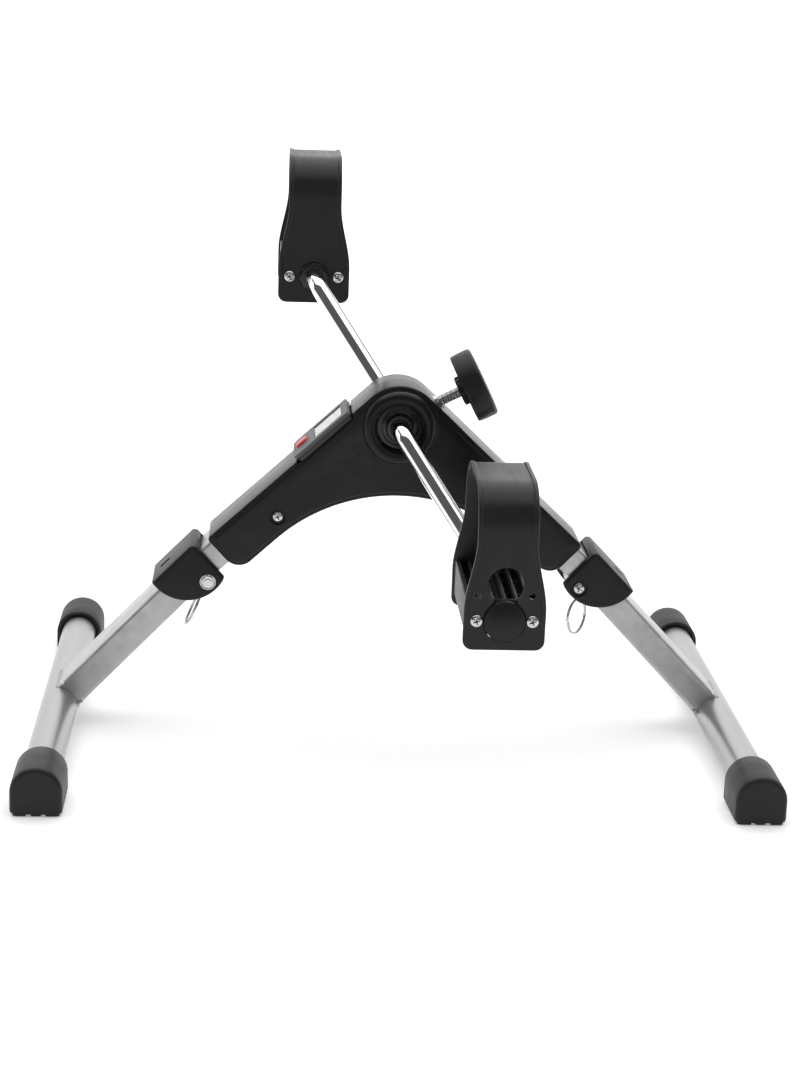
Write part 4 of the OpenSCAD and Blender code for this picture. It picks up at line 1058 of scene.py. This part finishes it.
def pedal_frame(word, place):
    """Moulded surround with its barrel, cross webs and screw posts, bored for the axle."""
    half_l = PEDAL_HALF - STRAP_T
    inner, soft, outer = (rounded_box(*sizes) for sizes in (
        (21.5, half_l - 3, 1.0), (24.0, half_l - 0.5, 2.6), (24.5, half_l, 3.0)))
    rings = [[(x, y, z) for x, y in outline] for outline, z in (
        (inner, -9.5), (soft, -9.5), (outer, -9.0), (outer, 12.7), (soft, 13.4), (inner, 13.4),
        (inner, -9.5))]
    surround = make_piece("surround", *loft(rings, caps=False), place)
    profile = [(AXLE_BORE, -half_l), (11, -half_l), (11, -half_l + 7), (8.5, -half_l + 8), (8.5, half_l - 18),
               (11, half_l - 17), (11, half_l), (AXLE_BORE, half_l), (AXLE_BORE, -half_l)]
    parts = [surround, make_piece("barrel", *turned(profile, 64), place @ AXLE_TO_Y)]
    parts += [block("web", -23.5, 23.5, y - 1.2, y + 1.2, -6.5, 8, place) for y in (-15, 15)]
    for x in (-STRAP_SCREW_X, STRAP_SCREW_X):
        for lo, hi in ((-half_l, -half_l + 14), (half_l - 14, half_l)):
            parts.append(drill("post", 4.5, lo, hi, place @ move(x, 0, 0) @ AXLE_TO_Y, 40))
    return joined(word + "_pedal_frame", parts)


def pedal_body(side):
    word, place = hand_word(side), pedal_place(side)
    unit = word + "_pedal_unit"
    surround = pedal_frame(word, place)
    ribs = from_tree(word + "_tread", RIBS, [(0, 0, 0)], place, {
        "Count": 5, "Pitch": 46 / 6, "Thickness": 2.4, "Height": 13.4,
        "Length": 2 * (PEDAL_HALF - STRAP_T) - 3}, "pedal")
    give(ribs, "pedal", unit, "pedal_plastic")
    give(surround, "pedal", unit, "pedal_plastic", word + "_pedal")
    bush = softened(word + "_inner_bush", word + "_pedal_bush", 0.35)
    give(bush, "bush", unit, "bush_plastic", word + "_pedal_bush")
    ends = [(x, -PEDAL_HALF, 0) for x in (-STRAP_SCREW_X, STRAP_SCREW_X)]
    screws_on(word + "_outer_screws", unit, ends, place, STRAP_SCREW, word + "_strap_screws")
    screws_on(word + "_inner_screws", unit, ends, place @ FLIP_Y, STRAP_SCREW, word + "_strap_screws")


# ---------------------------------------------------------------- display

def rim_outline(inset, hub_end, half, button_end=-103.9, hub_round=1.6, button_round=5.5):
    """Rectangle in U and Y with tight corners at the hub end and wide ones at the button end."""
    u0, u1, y1, pts = hub_end + inset, button_end - inset, half - inset, []
    for u, y, r, start in ((u1, y1, button_round, 0), (u0, y1, hub_round, 90), (u0, -y1, hub_round, 180),
                           (u1, -y1, button_round, 270)):
        r = max(r - inset, 0.4)
        pts += arc((u - math.copysign(r, u - (u0 + u1) / 2), y - math.copysign(r, y)), r, start, start + 90,
                   6)
    return pts


SEGMENT_LONG, SEGMENT_WIDE, SEGMENT_M, SEGMENT_RISE, FIGURE_PITCH = 3.4, 0.5, 24.97, 0.04, 6.4
SEGMENTS = [(0, y, SEGMENT_LONG, SEGMENT_WIDE) for y in (0, 3.2, -3.2)]
SEGMENTS += [(u, y, SEGMENT_WIDE, 2.6) for y in (1.6, -1.6) for u in (1.9, -1.9)]


def display():
    """Case with its tray, the bezel, the reset key and the figures on the panel."""
    place = pivot_place(-1)

    def stack(name, layers, hub_end, half):
        return make_piece(name, *loft([[(u, y, m) for u, y in rim_outline(inset, hub_end, half)]
                                       for inset, m in layers]), place)

    def key_shape(name, layers):
        return make_piece(name, *loft([[(u + KEY_U, y + KEY_Y, m)
                                        for u, y in rounded_box(5 - d, 6 - d, 3.5 - d)]
                                       for d, m in layers]), place)

    case = stack("case", [(0.3, 20.9), (0.0, 21.2), (0.0, 23.9), (0.5, 24.0)], -153.9, 22.9)
    tray = block("tray", -151, -108, -14.5, 14.5, 11.5, 21.5, place)
    case = cut_from(case, [block("window_room", -149.5, -122, -16.5, 16.5, 22.27, 40, place),
                           block("tray_room", -149.8, -109.2, -13.3, 13.3, 12.7, 40, place),
                           block("key_room", -118.6, -105.4, -3.8, 7.8, 22.8, 40, place)])
    tray = cut_from(tray, [block("tray_inside", -149.8, -109.2, -13.3, 13.3, 12.7, 40.2, place)])
    give(joined("display_tray", [case, tray]), "display", "frame", "display_black", "display_case")

    bezel = stack("bezel", [(1.0, 24.0), (0.2, 24.05), (0.0, 24.3), (0.0, 26.1), (0.2, 26.5), (0.6, 26.77)],
                  -153.6, 22.7)
    cut_from(bezel, [block("window_hole", -148, -123.5, -15.5, 15.5, 20, 40, place),
                     key_shape("key_hole", [(-0.4, 20), (-0.4, 40)])])
    bezel.name = "display_frame"
    give(bezel, "bezel", "frame", "bezel_grey", "display_bezel")

    key = key_shape("reset_key", [(0.0, 24.7), (0.0, 27.4), (0.25, 27.9), (0.7, 28.25), (1.4, 28.37)])
    stem = drill("stem", 2, 22.2, 24.9, place @ move(KEY_U, KEY_Y, 0), 32)
    give(joined("reset_key_cap", [key, stem]), "button", "button", "button_red", "reset_button")

    bars = []
    for row in (-6.5, 6.0):
        for u in [-144 + FIGURE_PITCH * k for k in range(3)]:
            for du, dy, lu, ly in SEGMENTS:
                bars.append(block("bar", u + du - lu / 2, u + du + lu / 2, row + dy - ly / 2,
                                  row + dy + ly / 2,
                                  SEGMENT_M, SEGMENT_M + SEGMENT_RISE, place))
    give(joined("display_segments", bars), "segment", "frame", "lcd")


# ---------------------------------------------------------------- putting it together

for hand in (-1, 1):
    for build in (housing_shell, crank_bush, strap, axle_cap, pedal_body):
        build(hand)
for end in (-1, 1):
    for build in (upper_leg, lower_leg, floor_bar):
        build(end)
    for hand in (-1, 1):
        foot_cap(end, hand)
    for build in (knuckle, pivot_nut, pull_ring, lock_parts, pivot_screw):
        build(end)
crank_rod()
tension_knob()
tension_screw()
display()
bolts = [tuple(pivot_place(end) @ Vector((COVER_SCREW_U, 2.2 - PANEL_Y, COVER_SCREW_M))) for end in (-1, 1)]
screws_on("cover_screws", "frame", bolts, STAY, COVER_SCREW, "housing_screws")

KEPT = {
    "hub_tube": "steel", "brake_drum": "steel", "sensor_magnet": "steel", "tension_insert": "screw",
    "brake_shoe": "steel", "brake_pad": "felt", "display_window": "window", "lcd_panel": "lcd",
    "circuit_board": "board", "coin_cell": "steel", "battery_clip": "brass", "button_dome": "wire",
    "reed_switch": "window", "sensor_wire": "wire", "right_axle_clip": "steel", "left_axle_clip": "steel",
}
for node, finish in KEPT.items():
    for material_slot in NODES[node].material_slots:
        material_slot.material = M[finish]


# ---------------------------------------------------------------- floor, light and camera, in metres

FLOOR_HALF, FLOOR_NEAR, BEND_START, BEND, BACKDROP_TOP = 16.0, -14.0, 2.4, 1.4, 4.0
FLOOR_WHITE, FLOOR_ROUGH, FLOOR_SPECULAR, FLOOR_GLOW, WORLD_GLOW = 0.93, 0.9, 0.05, 0.28, 0.1
# Place, aim, width, height and power of each soft light
LIGHTS = {
    "overhead": ((0.0, 0.9, 3.1), (0, 0.9, 0), 5.0, 5.0, 125),
    "sweep_light": ((0.0, 1.2, 3.0), (0, 3.8, 0.6), 7.0, 1.2, 42),
    "left_side": ((-2.4, 0.2, 1.0), (0, 0, 0.2), 1.4, 1.6, 9),
    "right_side": ((2.4, 0.2, 1.0), (0, 0, 0.2), 1.4, 1.6, 9),
    "front_strip": ((0.3, -3.2, 1.5), (0, 0, 0.2), 3.6, 0.14, 5),
}
VIEW_PLACE, YAW, PITCH, ROLL, LENS, SENSOR = (-0.09317, -1.56240, 0.56589), 0.0624, 0.2700, 0.0357, 75.31, 36


def studio():
    """A pale floor that sweeps up far behind the object, and large soft lights."""
    profile = [(FLOOR_NEAR, 0.0), (-2.0, 0.0), (BEND_START, 0.0)]
    profile += [(BEND_START + BEND * sin_d(t), BEND - BEND * cos_d(t)) for t in range(6, 91, 6)]
    profile.append((BEND_START + BEND, BACKDROP_TOP))
    rows = [[(-FLOOR_HALF, y, z), (FLOOR_HALF, y, z)] for y, z in profile]
    verts, faces = loft(rows, closed=False, caps=False)
    mesh = bpy.data.meshes.new("studio_floor")
    mesh.from_pydata(verts, [], faces)
    for poly in mesh.polygons:
        poly.use_smooth = True
    floor = add_object("studio_floor", mesh)
    pale = bpy.data.materials.new("Pale floor")
    pale.use_nodes = True
    shade = pale.node_tree.nodes["Principled BSDF"]
    shade.inputs["Base Color"].default_value = (FLOOR_WHITE, FLOOR_WHITE, FLOOR_WHITE, 1)
    shade.inputs["Roughness"].default_value = FLOOR_ROUGH
    shade.inputs["Specular IOR Level"].default_value = FLOOR_SPECULAR
    shade.inputs["Emission Color"].default_value = (1, 1, 1, 1)
    shade.inputs["Emission Strength"].default_value = FLOOR_GLOW
    mesh.materials.append(pale)

    world = bpy.data.worlds.new("Studio")
    bpy.context.scene.world = world
    world.use_nodes = True
    back = world.node_tree.nodes["Background"]
    back.inputs["Color"].default_value = (1, 1, 1, 1)
    back.inputs["Strength"].default_value = WORLD_GLOW

    for name, (place, aim, width, height, power) in LIGHTS.items():
        light = bpy.data.lights.new(name, "AREA")
        light.shape = "RECTANGLE"
        light.size, light.size_y = width, height
        light.energy = power
        obj = add_object(name, light)
        obj.location = place
        obj.rotation_euler = (Vector(aim) - Vector(place)).to_track_quat("-Z", "Y").to_euler()


def camera():
    """A long lens a little left of the axle's end, looking slightly down."""
    level = Vector((math.cos(YAW), -math.sin(YAW), 0))
    ahead = Vector((math.sin(YAW) * math.cos(PITCH), math.cos(YAW) * math.cos(PITCH), -math.sin(PITCH)))
    up = level.cross(ahead)
    right = math.cos(ROLL) * level + math.sin(ROLL) * up
    top = -math.sin(ROLL) * level + math.cos(ROLL) * up
    data = bpy.data.cameras.new("view")
    data.sensor_width = SENSOR
    data.lens = LENS
    data.clip_start, data.clip_end = 0.05, 100
    cam = add_object("view", data)
    turn = Matrix((right, top, -ahead)).transposed().to_4x4()
    cam.matrix_world = Matrix.Translation(VIEW_PLACE) @ turn
    bpy.context.scene.camera = cam


studio()
camera()
bpy.context.scene.view_settings.view_transform = "Standard"
